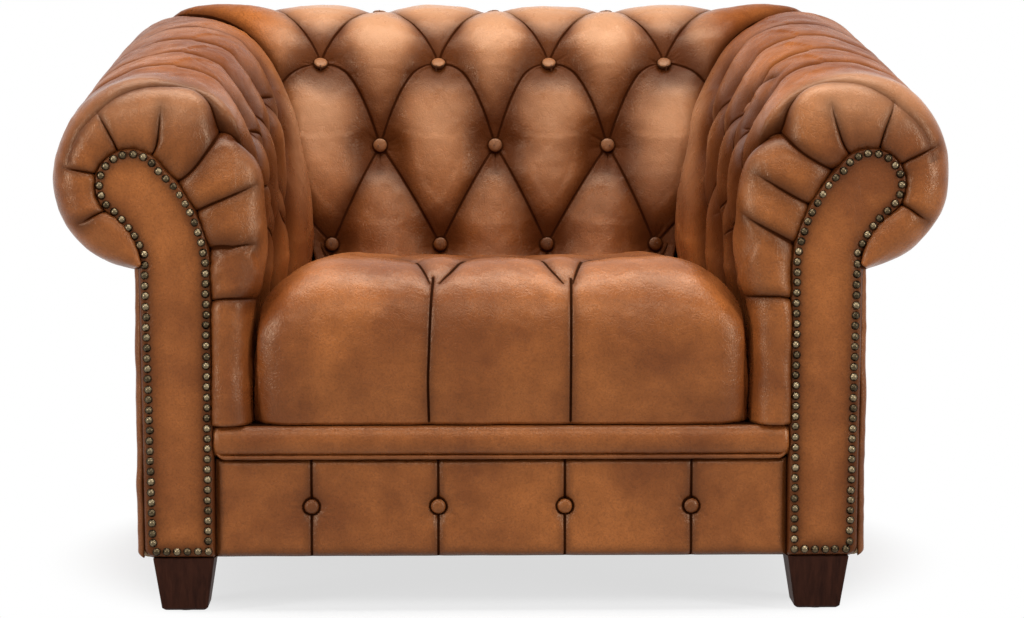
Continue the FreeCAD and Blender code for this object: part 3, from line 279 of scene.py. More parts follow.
def arm_surface():
    """u runs back along the arm from 0 at the front turn; below 0 it goes round to the facing."""
    u_axis = np.arange(-TURN_LENGTH, ARM_REACH, GRID)
    v_axis = np.arange(0, ARM_V[-1] + 1 * MM, GRID)
    w_axis = np.interp(v_axis, ARM_V, ARM_PLACES)
    facing = facing_in_place(w_axis)
    straight = BACK_CENTER_Y - TURN_START_Y
    rows = []
    for u in u_axis:
        y = np.full_like(v_axis, TURN_START_Y + min(max(u, 0), straight))
        section = arm_section(y, w_axis)
        rows.append(np.stack([section[:, 0], y, section[:, 1]], -1))
    points = smooth_rows(np.array(rows), ARM_SMOOTHING)
    start = points[np.searchsorted(u_axis, 0.0)][:, [0, 2]].copy()
    for index, u in enumerate(u_axis):
        if u < 0:
            angle = -u / TURN_LENGTH * TURN_ANGLE
            share = (1 - math.cos(angle)) / (1 - math.cos(TURN_ANGLE))
            flat = start + (facing - start) * share
            points[index, :, 0], points[index, :, 2] = flat[:, 0], flat[:, 1]
            points[index, :, 1] = TURN_START_Y - TURN_DEPTH * math.sin(angle)
        elif u > straight:
            reach = points[index, :, 0] - ROLL_X
            turned, x_reach, y_reach = round_corner(u - straight, reach)
            points[index, :, 0] = ROLL_X + x_reach
            points[index, :, 1] = BACK_CENTER_Y + np.where(turned, y_reach, u - straight)
    return Surface(u_axis, v_axis, points, -1)


def corner_y(x):
    """y of the seam between arm and back at x, on the seat's side."""
    return BACK_FOOT_Y + (x - MITER_FOOT_X) * (BACK_CENTER_Y - BACK_FOOT_Y) / (CORNER_X - MITER_FOOT_X)


def arm_length(v):
    """How far back the arm skin reaches at v: to the miter with the back."""
    w = np.interp(v, ARM_V, ARM_PLACES)
    y = np.full_like(v, MITER_FIRST_Y)
    for _ in range(MITER_ROUNDS):
        x = arm_section(y, w)[:, 0]
        y = np.where(x < CORNER_X, corner_y(x), BACK_CENTER_Y)
    beyond = np.maximum(arm_section(y, w)[:, 0] - CORNER_X, 0) * math.pi / 4
    return y - TURN_START_Y + beyond + MITER_OVERLAP


# Back surface.

BACK_FACE = (BACK_CENTER_Z + BACK_RADIUS * math.sin(BACK_LEAN) - BACK_FOOT_Z) / math.cos(BACK_LEAN)
BACK_LENGTH = BACK_FACE + BACK_RADIUS * (math.pi - BACK_LEAN + TIP_ANGLE)
BACK_REACH = 0.60


def back_profile(v):
    """y and z at each length up the back from its foot."""
    angle = math.pi - BACK_LEAN - np.maximum(v - BACK_FACE, 0) / BACK_RADIUS
    top_y = BACK_CENTER_Y + BACK_RADIUS * np.cos(angle)
    top_z = BACK_CENTER_Z + BACK_RADIUS * np.sin(angle)
    short = np.maximum(BACK_FACE - v, 0)
    return top_y - short * math.sin(BACK_LEAN), top_z - short * math.cos(BACK_LEAN)


def back_half_width(v):
    """Half the width of the back's skin at each length v: to the miter with the arms."""
    y, _ = back_profile(v)
    slope = (CORNER_X - MITER_FOOT_X) / (BACK_CENTER_Y - BACK_FOOT_Y)
    inner = MITER_FOOT_X + (y - BACK_FOOT_Y) * slope
    return np.where(y < BACK_CENTER_Y, inner, CORNER_X + (y - BACK_CENTER_Y) * math.pi / 4) + MITER_OVERLAP


def back_surface():
    """u runs across the back from its middle, v up from its foot and over the roll."""
    u_axis = np.arange(-BACK_REACH, BACK_REACH + 0.1 * MM, GRID)
    v_axis = np.arange(0, BACK_LENGTH + 1 * MM, GRID)
    y, z = back_profile(v_axis)
    points = np.zeros((len(u_axis), len(v_axis), 3))
    for index, u in enumerate(u_axis):
        beyond = max(abs(u) - CORNER_X, 0)
        turned, y_reach, x_reach = round_corner(beyond, y - BACK_CENTER_Y)
        x = min(abs(u), CORNER_X) + np.where(turned, x_reach, beyond)
        points[index, :, 0] = math.copysign(1, u) * x
        points[index, :, 1] = np.where(turned, BACK_CENTER_Y + y_reach, y)
        points[index, :, 2] = z
    return Surface(u_axis, v_axis, points, 1)


# Folds in the leather, as lines in u and v.

def crease(start, end, depths, bend=1.0, lip=0.0, count=40):
    """A fold from start to end in u and v. Its sideways share is its lengthwise share to the bend."""
    t = np.linspace(0, 1, count)
    side = t ** bend
    u = start[0] + (end[0] - start[0]) * side
    v = start[1] + (end[1] - start[1]) * t
    depth = np.interp(t, np.linspace(0, 1, len(depths)), depths)
    return {"points": np.stack([u, v], -1), "depth": depth, "lip": lip}


PATH_STEP, PATH_ROUNDS = 4 * MM, 12


def even_steps(points, count_for):
    """Lengths along a line of places, evenly spaced, with u and v at each."""
    sizes = np.linalg.norm(np.diff(points, axis=0), axis=1)
    corners = np.concatenate([[0], np.cumsum(sizes)])
    at = np.linspace(0, corners[-1], count_for(corners[-1]))
    return at, np.interp(at, corners, points[:, 0]), np.interp(at, corners, points[:, 1])


def path_crease(points, depths, lip=0.0):
    """A fold through several places, rounded between them."""
    at, u, v = even_steps(np.array(points, float), lambda length: max(12, int(length / PATH_STEP)))
    for _ in range(PATH_ROUNDS):
        u[1:-1] = (u[:-2] + 2 * u[1:-1] + u[2:]) / 4
        v[1:-1] = (v[:-2] + 2 * v[1:-1] + v[2:]) / 4
    depth = np.interp(at / at[-1], np.linspace(0, 1, len(depths)), depths)
    return {"points": np.stack([u, v], -1), "depth": depth, "lip": lip}


def resample(fold, step):
    """The same fold with its places about a step apart."""
    points, depth = fold["points"], fold["depth"]
    at, u, v = even_steps(points, lambda length: max(3, int(round(length / step)) + 1))
    corners = np.concatenate([[0], np.cumsum(np.linalg.norm(np.diff(points, axis=0), axis=1))])
    return dict(fold, points=np.stack([u, v], -1), depth=np.interp(at, corners, depth))


def distance_to(fold, places, reach):
    """Distance, side and depth of a fold at each place; far places get the reach."""
    points, depth = fold["points"], fold["depth"]
    low_corner, high_corner = points.min(0) - reach, points.max(0) + reach
    near = np.all((places > low_corner) & (places < high_corner), axis=1)
    distance = np.full(len(places), reach)
    side = np.zeros(len(places))
    deep = np.zeros(len(places))
    if not near.any():
        return distance, side, deep
    spots = places[near]
    best = np.full(len(spots), reach)
    best_side, best_deep = np.zeros(len(spots)), np.zeros(len(spots))
    for index in range(len(points) - 1):
        a, b = points[index], points[index + 1]
        along = b - a
        size = along @ along
        t = np.clip(((spots - a) @ along) / size, 0, 1)
        gap = spots - (a + t[:, None] * along)
        d = np.hypot(gap[:, 0], gap[:, 1])
        closer = d < best
        best = np.where(closer, d, best)
        cross = along[0] * gap[:, 1] - along[1] * gap[:, 0]
        best_side = np.where(closer, np.sign(cross), best_side)
        best_deep = np.where(closer, depth[index] + (depth[index + 1] - depth[index]) * t, best_deep)
    distance[near], side[near], deep[near] = best, best_side, best_deep
    return distance, side, deep


# Rows of places beside each fold, and how far the mesh's other places keep from folds and edges.
FOLD_STEP = 3.0 * MM
ROW_OFFSETS = (1.0 * MM, 2.2 * MM, 4.2 * MM, 7.0 * MM)
FOLD_MARGIN, ROW_MARGIN = 1.0 * MM, 1.5 * MM
FINE_STEP, FINE_REACH = 2.6 * MM, 30 * MM
COARSE_STEP = 0.024
CELL = 0.012


def rows_beside(folds, tree, inside):
    """Rows of places on both sides of each fold, left out where another fold is nearer."""
    rows = []
    for fold in folds:
        points = fold["points"]
        along = np.gradient(points, axis=0)
        along /= np.linalg.norm(along, axis=1, keepdims=True)
        normal = np.stack([-along[:, 1], along[:, 0]], -1)
        for offset in ROW_OFFSETS:
            for sign in (-1, 1):
                row = points + normal * offset * sign
                rows.append(row[inside(row, ROW_MARGIN) & (gap_to(tree, row) > offset * 0.8)])
    return rows


def button_gap(places, buttons):
    """Distance from each place to the nearest button."""
    return np.min([np.hypot(*(places - b).T) for b in np.array(buttons)], axis=0)


def skin_places(outline, inside, folds, buttons, step):
    """Places for the mesh of a skin: its outline, the folds with rows beside them, and a grid."""
    folds = [resample(fold, FOLD_STEP) for fold in folds]
    places, count = [outline], len(outline)
    edges = [(i, (i + 1) % count) for i in range(count)]
    tree = tree_of(np.concatenate([fold["points"] for fold in folds]))
    for fold in folds:
        points = fold["points"][inside(fold["points"], FOLD_MARGIN)]
        if len(points) > 1 and not fold.get("edge"):
            edges += [(count + i, count + i + 1) for i in range(len(points) - 1)]
            places.append(points)
            count += len(points)
    places += rows_beside(folds, tree, inside)
    grid = hex_grid(outline.min(0), outline.max(0), step)
    keep = inside(grid, step * 0.5) & (gap_to(tree, grid) > ROW_OFFSETS[-1] + step * 0.35)
    if buttons:
        keep &= button_gap(grid, buttons) > FINE_REACH
        fine = hex_grid(outline.min(0), outline.max(0), FINE_STEP)
        fine = fine[button_gap(fine, buttons) <= FINE_REACH]
        fine = fine[inside(fine, FINE_STEP * 0.5)]
        places.append(fine[gap_to(tree, fine) > ROW_MARGIN])
    places.append(grid[keep])
    return np.concatenate(places), edges


def hex_grid(low_corner, high_corner, step):
    """Places of a grid of even triangles that fills a box."""
    columns = np.arange(low_corner[0], high_corner[0], step)
    rows = np.arange(low_corner[1], high_corner[1], step * math.sqrt(3) / 2)
    u, v = np.meshgrid(columns, rows, indexing="ij")
    u = u + (np.arange(len(rows)) % 2)[None, :] * step / 2
    return np.stack([u.ravel(), v.ravel()], -1)


def tree_of(points):
    """Points sorted into square cells, for finding the nearest one."""
    cells = {}
    for index, key in enumerate(map(tuple, np.floor(points / CELL).astype(int))):
        cells.setdefault(key, []).append(index)
    return {"points": points, "cells": cells}


def gap_to(tree, places):
    """Distance to the nearest point of the tree, up to one cell."""
    out = np.full(len(places), CELL)
    keys = np.floor(places / CELL).astype(int)
    order = np.lexsort((keys[:, 1], keys[:, 0]))
    start = 0
    while start < len(order):
        key = keys[order[start]]
        end = start
        while end < len(order) and (keys[order[end]] == key).all():
            end += 1
        found = []
        for a in (-1, 0, 1):
            for b in (-1, 0, 1):
                found += tree["cells"].get((key[0] + a, key[1] + b), [])
        if found:
            spots = places[order[start:end]]
            gaps = spots[:, None] - tree["points"][found][None]
            out[order[start:end]] = np.minimum(np.sqrt((gaps ** 2).sum(-1)).min(1), CELL)
        start = end
    return out


def triangulate(places, edges, inside):
    """Triangles between the places, with the edges kept and what lies outside left away."""
    made = geometry.delaunay_2d_cdt([Vector(p) for p in places.tolist()], edges, [], 0, 1e-7)
    flat = np.array([tuple(p) for p in made[0]])
    triangles = np.array(made[2])
    corner = flat[triangles]
    area = np.abs(np.cross(corner[:, 1] - corner[:, 0], corner[:, 2] - corner[:, 0])) / 2
    keep = inside(corner.mean(1), -0.1 * MM) & (area > 1e-12)
    return flat, triangles[keep]


def rim_of(triangles):
    """The border of a patch of triangles, in order round it."""
    edges = [edge for a, b, c in triangles.tolist() for edge in ((a, b), (b, c), (c, a))]
    known = set(edges)
    following = {a: b for a, b in edges if (b, a) not in known}
    start = next(iter(following))
    loop, spot = [start], following[start]
    while spot != start and len(loop) <= len(following):
        loop.append(spot)
        spot = following[spot]
    return loop


FAR_FOLD = 0.2
LIP_GAP, LIP_WIDTH = 3.2 * MM, 1.8 * MM
PULL_REACH, BUTTON_RIM = 0.016, 0.0108


def relief(places, folds, buttons, width, power, puff, button_pull=0.008, spot_reach=0.014):
    """Height of the leather, the distance to a fold, and marks for painted shade: dark fold lines, a dark
    ring at each button's rim and a dark spot round each button.
    """
    product = np.ones(len(places))
    nearest = np.full(len(places), FAR_FOLD)
    lip, line, spot = np.zeros((3, len(places)))
    for fold in folds:
        wide = fold.get("width", width)
        d, side, deep = distance_to(fold, places, wide * 4)
        product *= 1 - deep * np.exp(-(d / wide) ** power) * (d < wide * 4)
        nearest = np.minimum(nearest, np.where(deep > 0.02, d, FAR_FOLD))
        strength = np.clip(deep * fold.get("mark", 1.6), 0, 1)
        # Painted shade: a dark line along each fold.
        line = np.maximum(line, strength * np.exp(-(d / LINE_REACH) ** 2))
        if fold["lip"]:
            size = np.where(np.sign(fold["lip"]) == side, abs(fold["lip"]), 0) * strength
            lip += size * np.exp(-((d - LIP_GAP) / LIP_WIDTH) ** 2)
    height = puff * (product - 1)
    for button in buttons:
        d = np.hypot(*(places - np.array(button)).T)
        height -= button_pull * np.exp(-(d / PULL_REACH) ** 1.6)
        # Painted shade: a dark spot round each button and a dark ring at its rim.
        spot = np.maximum(spot, np.exp(-(d / spot_reach) ** 1.4))
        line = np.maximum(line, np.exp(-((d - BUTTON_RIM) / LIP_WIDTH) ** 2))
    return height + lip, nearest, line, spot


WRINKLE_COUNT, WRINKLE_LENGTH = 11, 0.034
WRINKLE_DEPTH, WRINKLE_WIDTH = 1.3 * MM, 1.6 * MM


def wrinkles(places, buttons, seed):
    """Fine creases that radiate from each button."""
    random = np.random.default_rng(seed)
    height = np.zeros(len(places))
    for button in buttons:
        offset = places - np.array(button)
        radius = np.hypot(offset[:, 0], offset[:, 1])
        near = radius < WRINKLE_LENGTH * 2.2
        if not near.any():
            continue
        angle = np.arctan2(offset[near, 1], offset[near, 0])
        r = radius[near]
        clear_of_button = np.clip((r - 8 * MM) / (6 * MM), 0, 1)
        for _ in range(WRINKLE_COUNT):
            aim = random.uniform(-math.pi, math.pi)
            bend = random.uniform(-8, 8)
            size = WRINKLE_DEPTH * random.uniform(0.3, 1.0)
            reach = WRINKLE_LENGTH * random.uniform(0.5, 1.3)
            off = np.angle(np.exp(1j * (angle - aim - bend * (r - 0.01))))
            across = off * r / WRINKLE_WIDTH
            height[near] -= size * np.exp(-across ** 2) * np.exp(-(r / reach) ** 2) * clear_of_button
    return height


LONG_WAVE, SHORT_WAVE = 0.09, 0.028


def waves(places, seed, size, depth, count=14):
    """Gentle seeded unevenness."""
    random = np.random.default_rng(seed)
    total = np.zeros(len(places))
    for _ in range(count):
        angle = random.uniform(0, 2 * math.pi)
        length = size * random.uniform(0.6, 1.6)
        aim = np.array([math.cos(angle), math.sin(angle)]) * 2 * math.pi / length
        total += np.sin(places @ aim + random.uniform(0, 2 * math.pi))
    return total * depth / math.sqrt(count)


def add_attributes(mesh, attributes):
    """Writes one number per point under each name."""
    for key, values in attributes.items():
        layer = mesh.attributes.new(key, "FLOAT", "POINT")
        values = np.broadcast_to(values, len(mesh.vertices))
        layer.data.foreach_set("value", np.ascontiguousarray(values, np.float32))


def leather_marks(gap, line, height=0.0, spot=0.0):
    """What the leather material reads: distance to a fold, fold lines, height and button spots; it paints
    shade and light from these.
    """
    return {"fold_gap": gap, "fold_line": line, "height": height, "button_spot": spot}


def make_mesh(name, verts, faces, finish, attributes=None):
    """A smooth shaded object from points and faces, with the attributes that its material reads."""
    name = name.replace(" ", "_")
    mesh = bpy.data.meshes.new(name)
    if isinstance(faces, np.ndarray):
        faces = faces.tolist()
    mesh.from_pydata(np.asarray(verts).tolist(), [], faces)
    add_attributes(mesh, attributes or {})
    mesh.validate()
    mesh.polygons.foreach_set("use_smooth", [True] * len(mesh.polygons))
    mesh.materials.append(finish)
    mesh.update()
    made = bpy.data.objects.new(name, mesh)
    bpy.context.scene.collection.objects.link(made)
    return made


def face_outwards(made, close=False):
    """Turns all faces outwards. With close, holes of up to eight sides are filled first."""
    bm = bmesh.new()
    bm.from_mesh(made.data)
    if close:
        bmesh.ops.holes_fill(bm, edges=[e for e in bm.edges if e.is_boundary], sides=8)
        bmesh.ops.triangulate(bm, faces=[f for f in bm.faces if len(f.verts) > 3])
    bmesh.ops.recalc_face_normals(bm, faces=bm.faces)
    bm.to_mesh(made.data)
    bm.free()


def inner_face(flat, rim, inside):
    """The plain face behind a skin: triangles that share the skin's rim, and the places it adds."""
    coarse = hex_grid(flat.min(0), flat.max(0), COARSE_STEP)
    coarse = coarse[inside(coarse, COARSE_STEP / 2)]
    border = flat[rim]
    ring = [(i, (i + 1) % len(rim)) for i in range(len(rim))]
    places, triangles = triangulate(np.concatenate([border, coarse]), ring, inside)
    on_rim = {tuple(np.round(place, 6)): number for place, number in zip(border, rim)}
    numbers, added = [], []
    for place in places:
        key = tuple(np.round(place, 6))
        numbers.append(on_rim.get(key, len(flat) + len(added)))
        if key not in on_rim:
            added.append(place)
    return np.array(numbers)[triangles][:, ::-1], np.array(added)


def skin(name, surface, outline, inside, folds, buttons, mirror=False, seed=1, width=PUFF_WIDTH,
         power=PUFF_POWER, puff=PUFF, lift=None, step=5.0 * MM, thickness=0.022, button_pull=0.008,
         wave=0.8 * MM, fold_shade=0.0, fold_shade_reach=0.018, spot_reach=0.014, tone_rise=0.0):
    """A padded leather skin over a surface, closed behind with a plain inner face."""
    places, edges = skin_places(outline, inside, folds, buttons, step)
    flat, triangles = triangulate(places, edges, inside)
    used = np.unique(triangles)
    renumber = np.full(len(flat), -1)
    renumber[used] = np.arange(len(used))
    flat, triangles = flat[used], renumber[triangles]
    height, nearest, line, spot = relief(flat, folds, buttons, width, power, puff, button_pull, spot_reach)
    # Painted shade on the leather beside the folds.
    spot = np.maximum(spot, fold_shade * np.exp(-(nearest / fold_shade_reach) ** 1.6))
    height += wrinkles(flat, buttons, seed)
    height += waves(flat, seed + 50, LONG_WAVE, wave) + waves(flat, seed + 90, SHORT_WAVE, wave * 0.25)
    if lift is not None:
        height += lift(flat)
    point, normal = surface.at(flat[:, 0], flat[:, 1])
    outer = point + normal * height[:, None]
    back_faces, added = inner_face(flat, rim_of(triangles), inside)
    inner, inner_normal = surface.at(added[:, 0], added[:, 1])
    verts = np.concatenate([outer, inner - inner_normal * (thickness + puff)])
    faces = np.concatenate([triangles, back_faces])
    if mirror:
        verts, faces = verts * MIRROR, faces[:, ::-1]
    filler = np.zeros(len(added))
    # The plain inner face is painted with the darkest fold line and low ground, as shade behind the skin.
    made = make_mesh(name, verts, faces, tan_leather, leather_marks(
        np.concatenate([nearest, filler]), np.concatenate([line, filler + 1]),
        np.concatenate([height + tone_rise, filler - puff]), np.concatenate([spot, filler])))
    face_outwards(made, close=True)
    return made


# Materials.

def material(name):
    """A new material with its node tree, its shader and the object's own coordinates."""
    made = bpy.data.materials.new(name)
    made.use_nodes = True
    tree = made.node_tree
    return made, tree, tree.nodes["Principled BSDF"], node(tree, "ShaderNodeTexCoord").outputs["Object"]


def node(tree, kind, **values):
    """A new node with its sockets, or else its own settings, set by name."""
    made = tree.nodes.new(kind)
    for key, value in values.items():
        if key in made.inputs.keys():
            made.inputs[key].default_value = value
        else:
            setattr(made, key, value)
    return made


def ramp(tree, source, stops):
    """Colours at places from 0 to 1."""
    made = tree.nodes.new("ShaderNodeValToRGB")
    while len(made.color_ramp.elements) < len(stops):
        made.color_ramp.elements.new(0.5)
    for element, (place, color) in zip(made.color_ramp.elements, stops):
        element.position = place
        element.color = (*color, 1)
    tree.links.new(source, made.inputs["Fac"])
    return made.outputs["Color"]


def mix_color(tree, factor, first, second, blend="MIX"):
    """Two colours, each from a node or given, mixed or multiplied by a factor."""
    made = tree.nodes.new("ShaderNodeMix")
    made.data_type = "RGBA"
    made.blend_type = blend
    if isinstance(factor, float):
        made.inputs[0].default_value = factor
    else:
        tree.links.new(factor, made.inputs[0])
    for socket, value in ((made.inputs[6], first), (made.inputs[7], second)):
        if isinstance(value, tuple):
            socket.default_value = (*value, 1)
        else:
            tree.links.new(value, socket)
    return made.outputs[2]


def math_node(tree, operation, first, second):
    """The result of one operation on two values, each from a node or given."""
    made = tree.nodes.new("ShaderNodeMath")
    made.operation = operation
    for socket, value in zip(made.inputs, (first, second)):
        if isinstance(value, (int, float)):
            socket.default_value = value
        else:
            tree.links.new(value, socket)
    return made.outputs[0]


def times(tree, first, *others):
    """The product of two or more values."""
    for other in others:
        first = math_node(tree, "MULTIPLY", first, other)
    return first


def plus(tree, first, second):
    """The sum of two values."""
    return math_node(tree, "ADD", first, second)


def noise(tree, place, scale, detail=3.0, rough=0.5, distortion=0.0):
    """A cloudy pattern from 0 to 1 over the places."""
    made = node(tree, "ShaderNodeTexNoise", Scale=scale, Detail=detail, Roughness=rough,
                Distortion=distortion)
    tree.links.new(place, made.inputs["Vector"])
    return made.outputs["Fac"]


def attribute(tree, key):
    """A number that the mesh holds at each point."""
    made = tree.nodes.new("ShaderNodeAttribute")
    made.attribute_name = key
    return made.outputs["Fac"]


def add_bump(tree, shader, height, strength, distance):
    """Fine relief in a finish."""
    made = node(tree, "ShaderNodeBump", Strength=strength, Distance=distance)
    tree.links.new(height, made.inputs["Height"])
    tree.links.new(made.outputs["Normal"], shader.inputs["Normal"])


def span(tree, value, low_value, high_value, low_out=0.0, high_out=1.0):
    """Goes smoothly from one number to another while the value goes from low to high."""
    made = node(tree, "ShaderNodeMapRange", interpolation_type="SMOOTHSTEP")
    for key, number in (("From Min", low_value), ("From Max", high_value), ("To Min", low_out),
                        ("To Max", high_out)):
        made.inputs[key].default_value = number
    tree.links.new(value, made.inputs["Value"])
    return made.outputs["Result"]


LEATHER_LIGHT = (0.405, 0.126, 0.030)
LEATHER_MIDDLE = (0.205, 0.054, 0.012)
LEATHER_DARK = (0.060, 0.014, 0.0035)
LEATHER_CREASE_SHADE = (0.008, 0.0025, 0.0012)
# Painted light: the lighter tan laid on the crowns that face the top light.
LEATHER_PAINTED_LIGHT = (0.55, 0.275, 0.138)
LEATHER_GLOSS = 0.42
LEATHER_GLOSS_TINT = (1.0, 0.76, 0.53, 1)
# How fine the leather's patterns are, in repeats per metre.
CLOUD_SCALE, MOTTLE_SCALE, FLECK_SCALE = 6.0, 38.0, 360.0
PORE_SCALE, NET_SCALE, WARP_SCALE, SOFT_FOLD_SCALE = 650.0, 170.0, 30.0, 55.0
SOFT_FOLD_DEPTH = 1.9
BRASS_DEEP, BRASS_MIDDLE, BRASS_BRIGHT = (0.012, 0.008, 0.005), (0.085, 0.062, 0.034), (0.24, 0.185, 0.11)


def leather_color(tree, place, mottle, marks):
    """Clouded tan, darker in flecks, with painted shade in the low ground, beside folds, in their lines and
    round the buttons.
    """
    cloud = noise(tree, place, CLOUD_SCALE, 5.0, 0.60, 0.3)
    fleck = noise(tree, place, FLECK_SCALE, 2.0, 0.6)
    color = ramp(tree, cloud, [(0.36, LEATHER_MIDDLE), (0.63, LEATHER_LIGHT)])
    for share, strength, shade in (
        (span(tree, mottle, 0.35, 0.68), 0.18, LEATHER_DARK),
        (span(tree, fleck, 0.42, 0.70), 0.27, LEATHER_DARK),
        # Painted shade: the low ground, the leather beside folds, the fold lines and the spots round buttons
        # are darkened as if in shade.
        (span(tree, marks["height"], 0.001, -0.020), 0.80, LEATHER_DARK),
        (span(tree, marks["fold_gap"], 0.014, 0.0), 0.40, LEATHER_DARK),
        (marks["lined"], 0.95, LEATHER_CREASE_SHADE),
        (marks["button_spot"], 0.80, LEATHER_DARK),
    ):
        color = mix_color(tree, times(tree, share, strength), color, shade)
    return color


def paint_crown_light(tree, corner, side, height, crown_light):
    """Painted light: a lighter tan on the high ground where the top light falls, over the back's upper crowns
    and the front tops of the arms.
    """
    back_crowns = times(tree, span(tree, corner.outputs["Z"], 0.42, 0.72, 0.0, 0.90), span(tree, side, 0.36, 0.26))
    arm_fronts = times(tree, span(tree, corner.outputs["Z"], 0.60, 0.70, 0.0, 0.50),
                  span(tree, corner.outputs["Y"], -0.405, -0.430))
    return times(tree, math_node(tree, "MAXIMUM", back_crowns, arm_fronts), crown_light, span(tree, height, -0.014, 0.002))


def leather_gloss(tree, corner, side, marks):
    """The polish is dull in the folds, in the low ground, round the buttons and on the tops of the arms."""
    arm_top = times(tree, span(tree, corner.outputs["Z"], 0.58, 0.68, 0.0, 0.95),
                    span(tree, corner.outputs["Y"], -0.42, -0.38), span(tree, side, 0.30, 0.38))
    low_ground = times(tree, span(tree, marks["height"], -0.010, -0.022), 0.7)
    gloss = span(tree, marks["fold_line"], 0.15, 0.60, LEATHER_GLOSS, 0.02)
    for dull in (arm_top, low_ground, times(tree, marks["button_spot"], 0.6)):
        gloss = times(tree, gloss, math_node(tree, "SUBTRACT", 1.0, dull))
    return gloss


def leather_grain(tree, place):
    """Pores, a net of fine creases that wanders, and soft folds."""
    pores = node(tree, "ShaderNodeTexVoronoi", Scale=PORE_SCALE)
    net = node(tree, "ShaderNodeTexVoronoi", Scale=NET_SCALE, feature="DISTANCE_TO_EDGE")
    warp = node(tree, "ShaderNodeTexNoise", Scale=WARP_SCALE)
    shifted = node(tree, "ShaderNodeVectorMath", operation="MULTIPLY_ADD")
    shifted.inputs[1].default_value = (0.03, 0.03, 0.03)
    for source, socket in ((place, pores.inputs["Vector"]), (place, warp.inputs["Vector"]),
                           (warp.outputs["Color"], shifted.inputs[0]), (place, shifted.inputs[2]),
                           (shifted.outputs["Vector"], net.inputs["Vector"])):
        tree.links.new(source, socket)
    grain = plus(tree, times(tree, pores.outputs["Distance"], 0.35),
                 times(tree, span(tree, net.outputs["Distance"], 0.0, 0.12), 0.6))
    soft_folds = noise(tree, place, SOFT_FOLD_SCALE, 5.0, 0.60, 1.0)
    return plus(tree, grain, times(tree, soft_folds, SOFT_FOLD_DEPTH))


def leather(name, tone=1.0, crown_light=1.0):
    """Tan leather with painted light on the crowns, painted shade in and beside the folds, fine grain and
    soft creases.
    """
    made, tree, shader, place = material(name)
    marks = {key: attribute(tree, key) for key in ("fold_gap", "fold_line", "height", "button_spot")}
    marks["lined"] = span(tree, marks["fold_line"], 0.22, 0.66)
    mottle = noise(tree, place, MOTTLE_SCALE, 4.0, 0.6)
    corner = tree.nodes.new("ShaderNodeSeparateXYZ")
    tree.links.new(place, corner.inputs[0])
    side = math_node(tree, "ABSOLUTE", corner.outputs["X"], 0.0)
    color = leather_color(tree, place, mottle, marks)
    # Painted light on the back's crowns and the arms' front tops.
    color = mix_color(tree, paint_crown_light(tree, corner, side, marks["height"], crown_light), color, LEATHER_PAINTED_LIGHT)
    color = mix_color(tree, 1.0, color, (tone, tone, tone), "MULTIPLY")
    rough = plus(tree, span(tree, mottle, 0.3, 0.7, 0.25, 0.36), times(tree, marks["lined"], 0.4))
    tree.links.new(color, shader.inputs["Base Color"])
    tree.links.new(rough, shader.inputs["Roughness"])
    tree.links.new(leather_gloss(tree, corner, side, marks), shader.inputs["Specular IOR Level"])
    shader.inputs["Specular Tint"].default_value = LEATHER_GLOSS_TINT
    add_bump(tree, shader, leather_grain(tree, place), 0.30, 0.7 * MM)
    return made


def brass(name):
    """Antique brass; each nail has a tone of its own, and its rim rings are painted near black as the shade
    round the head.
    """
    made, tree, shader, place = material(name)
    stain = noise(tree, place, 160.0)
    mixed = plus(tree, times(tree, stain, 0.5), times(tree, attribute(tree, "nail_tone"), 0.5))
    color = ramp(tree, mixed, [(0.22, BRASS_DEEP), (0.50, BRASS_MIDDLE), (0.85, BRASS_BRIGHT)])
    tree.links.new(color, shader.inputs["Base Color"])
    shader.inputs["Metallic"].default_value = 1.0
    tree.links.new(span(tree, stain, 0.3, 0.7, 0.20, 0.34), shader.inputs["Roughness"])
    add_bump(tree, shader, stain, 0.25, 0.4 * MM)
    return made


def wood(name, dark, light, scale=1.0, rough=0.38):
    """Grain that runs up the piece."""
    made, tree, shader, place = material(name)
    stretch = node(tree, "ShaderNodeMapping", Scale=(1.0, 1.0, 0.07))
    tree.links.new(place, stretch.inputs["Vector"])
    fibre = noise(tree, stretch.outputs["Vector"], 180.0 * scale, 5.0, 0.6, 0.4)
    band = noise(tree, stretch.outputs["Vector"], 26.0 * scale, 2.0)
    mixed = plus(tree, times(tree, fibre, 0.6), times(tree, band, 0.4))
    tree.links.new(ramp(tree, mixed, [(0.36, dark), (0.66, light)]), shader.inputs["Base Color"])
    tree.links.new(span(tree, fibre, 0.3, 0.7, rough + 0.06, rough - 0.04), shader.inputs["Roughness"])
    add_bump(tree, shader, fibre, 0.2, 0.3 * MM)
    return made


def woven(name, dark, light, scale=150.0):
    """Cloth of crossed threads."""
    made, tree, shader, place = material(name)
    threads = []
    for direction in ("X", "Y"):
        wave = node(tree, "ShaderNodeTexWave", Scale=scale, Distortion=0.6, bands_direction=direction)
        tree.links.new(place, wave.inputs["Vector"])
        threads.append(wave.outputs["Fac"])
    cloth = times(tree, *threads)
    tree.links.new(ramp(tree, cloth, [(0.1, dark), (0.8, light)]), shader.inputs["Base Color"])
    shader.inputs["Roughness"].default_value = 0.9
    add_bump(tree, shader, cloth, 0.5, 0.5 * MM)
    return made


def plain(name, dark, light, rough, metal=0.0):
    """An even finish with a fine uneven tone."""
    made, tree, shader, place = material(name)
    grain = noise(tree, place, 220.0, 4.0)
    tree.links.new(ramp(tree, grain, [(0.3, dark), (0.7, light)]), shader.inputs["Base Color"])
    tree.links.new(span(tree, grain, 0.3, 0.7, rough - 0.06, rough + 0.06), shader.inputs["Roughness"])
    shader.inputs["Metallic"].default_value = metal
    add_bump(tree, shader, grain, 0.3, 0.4 * MM)
    return made


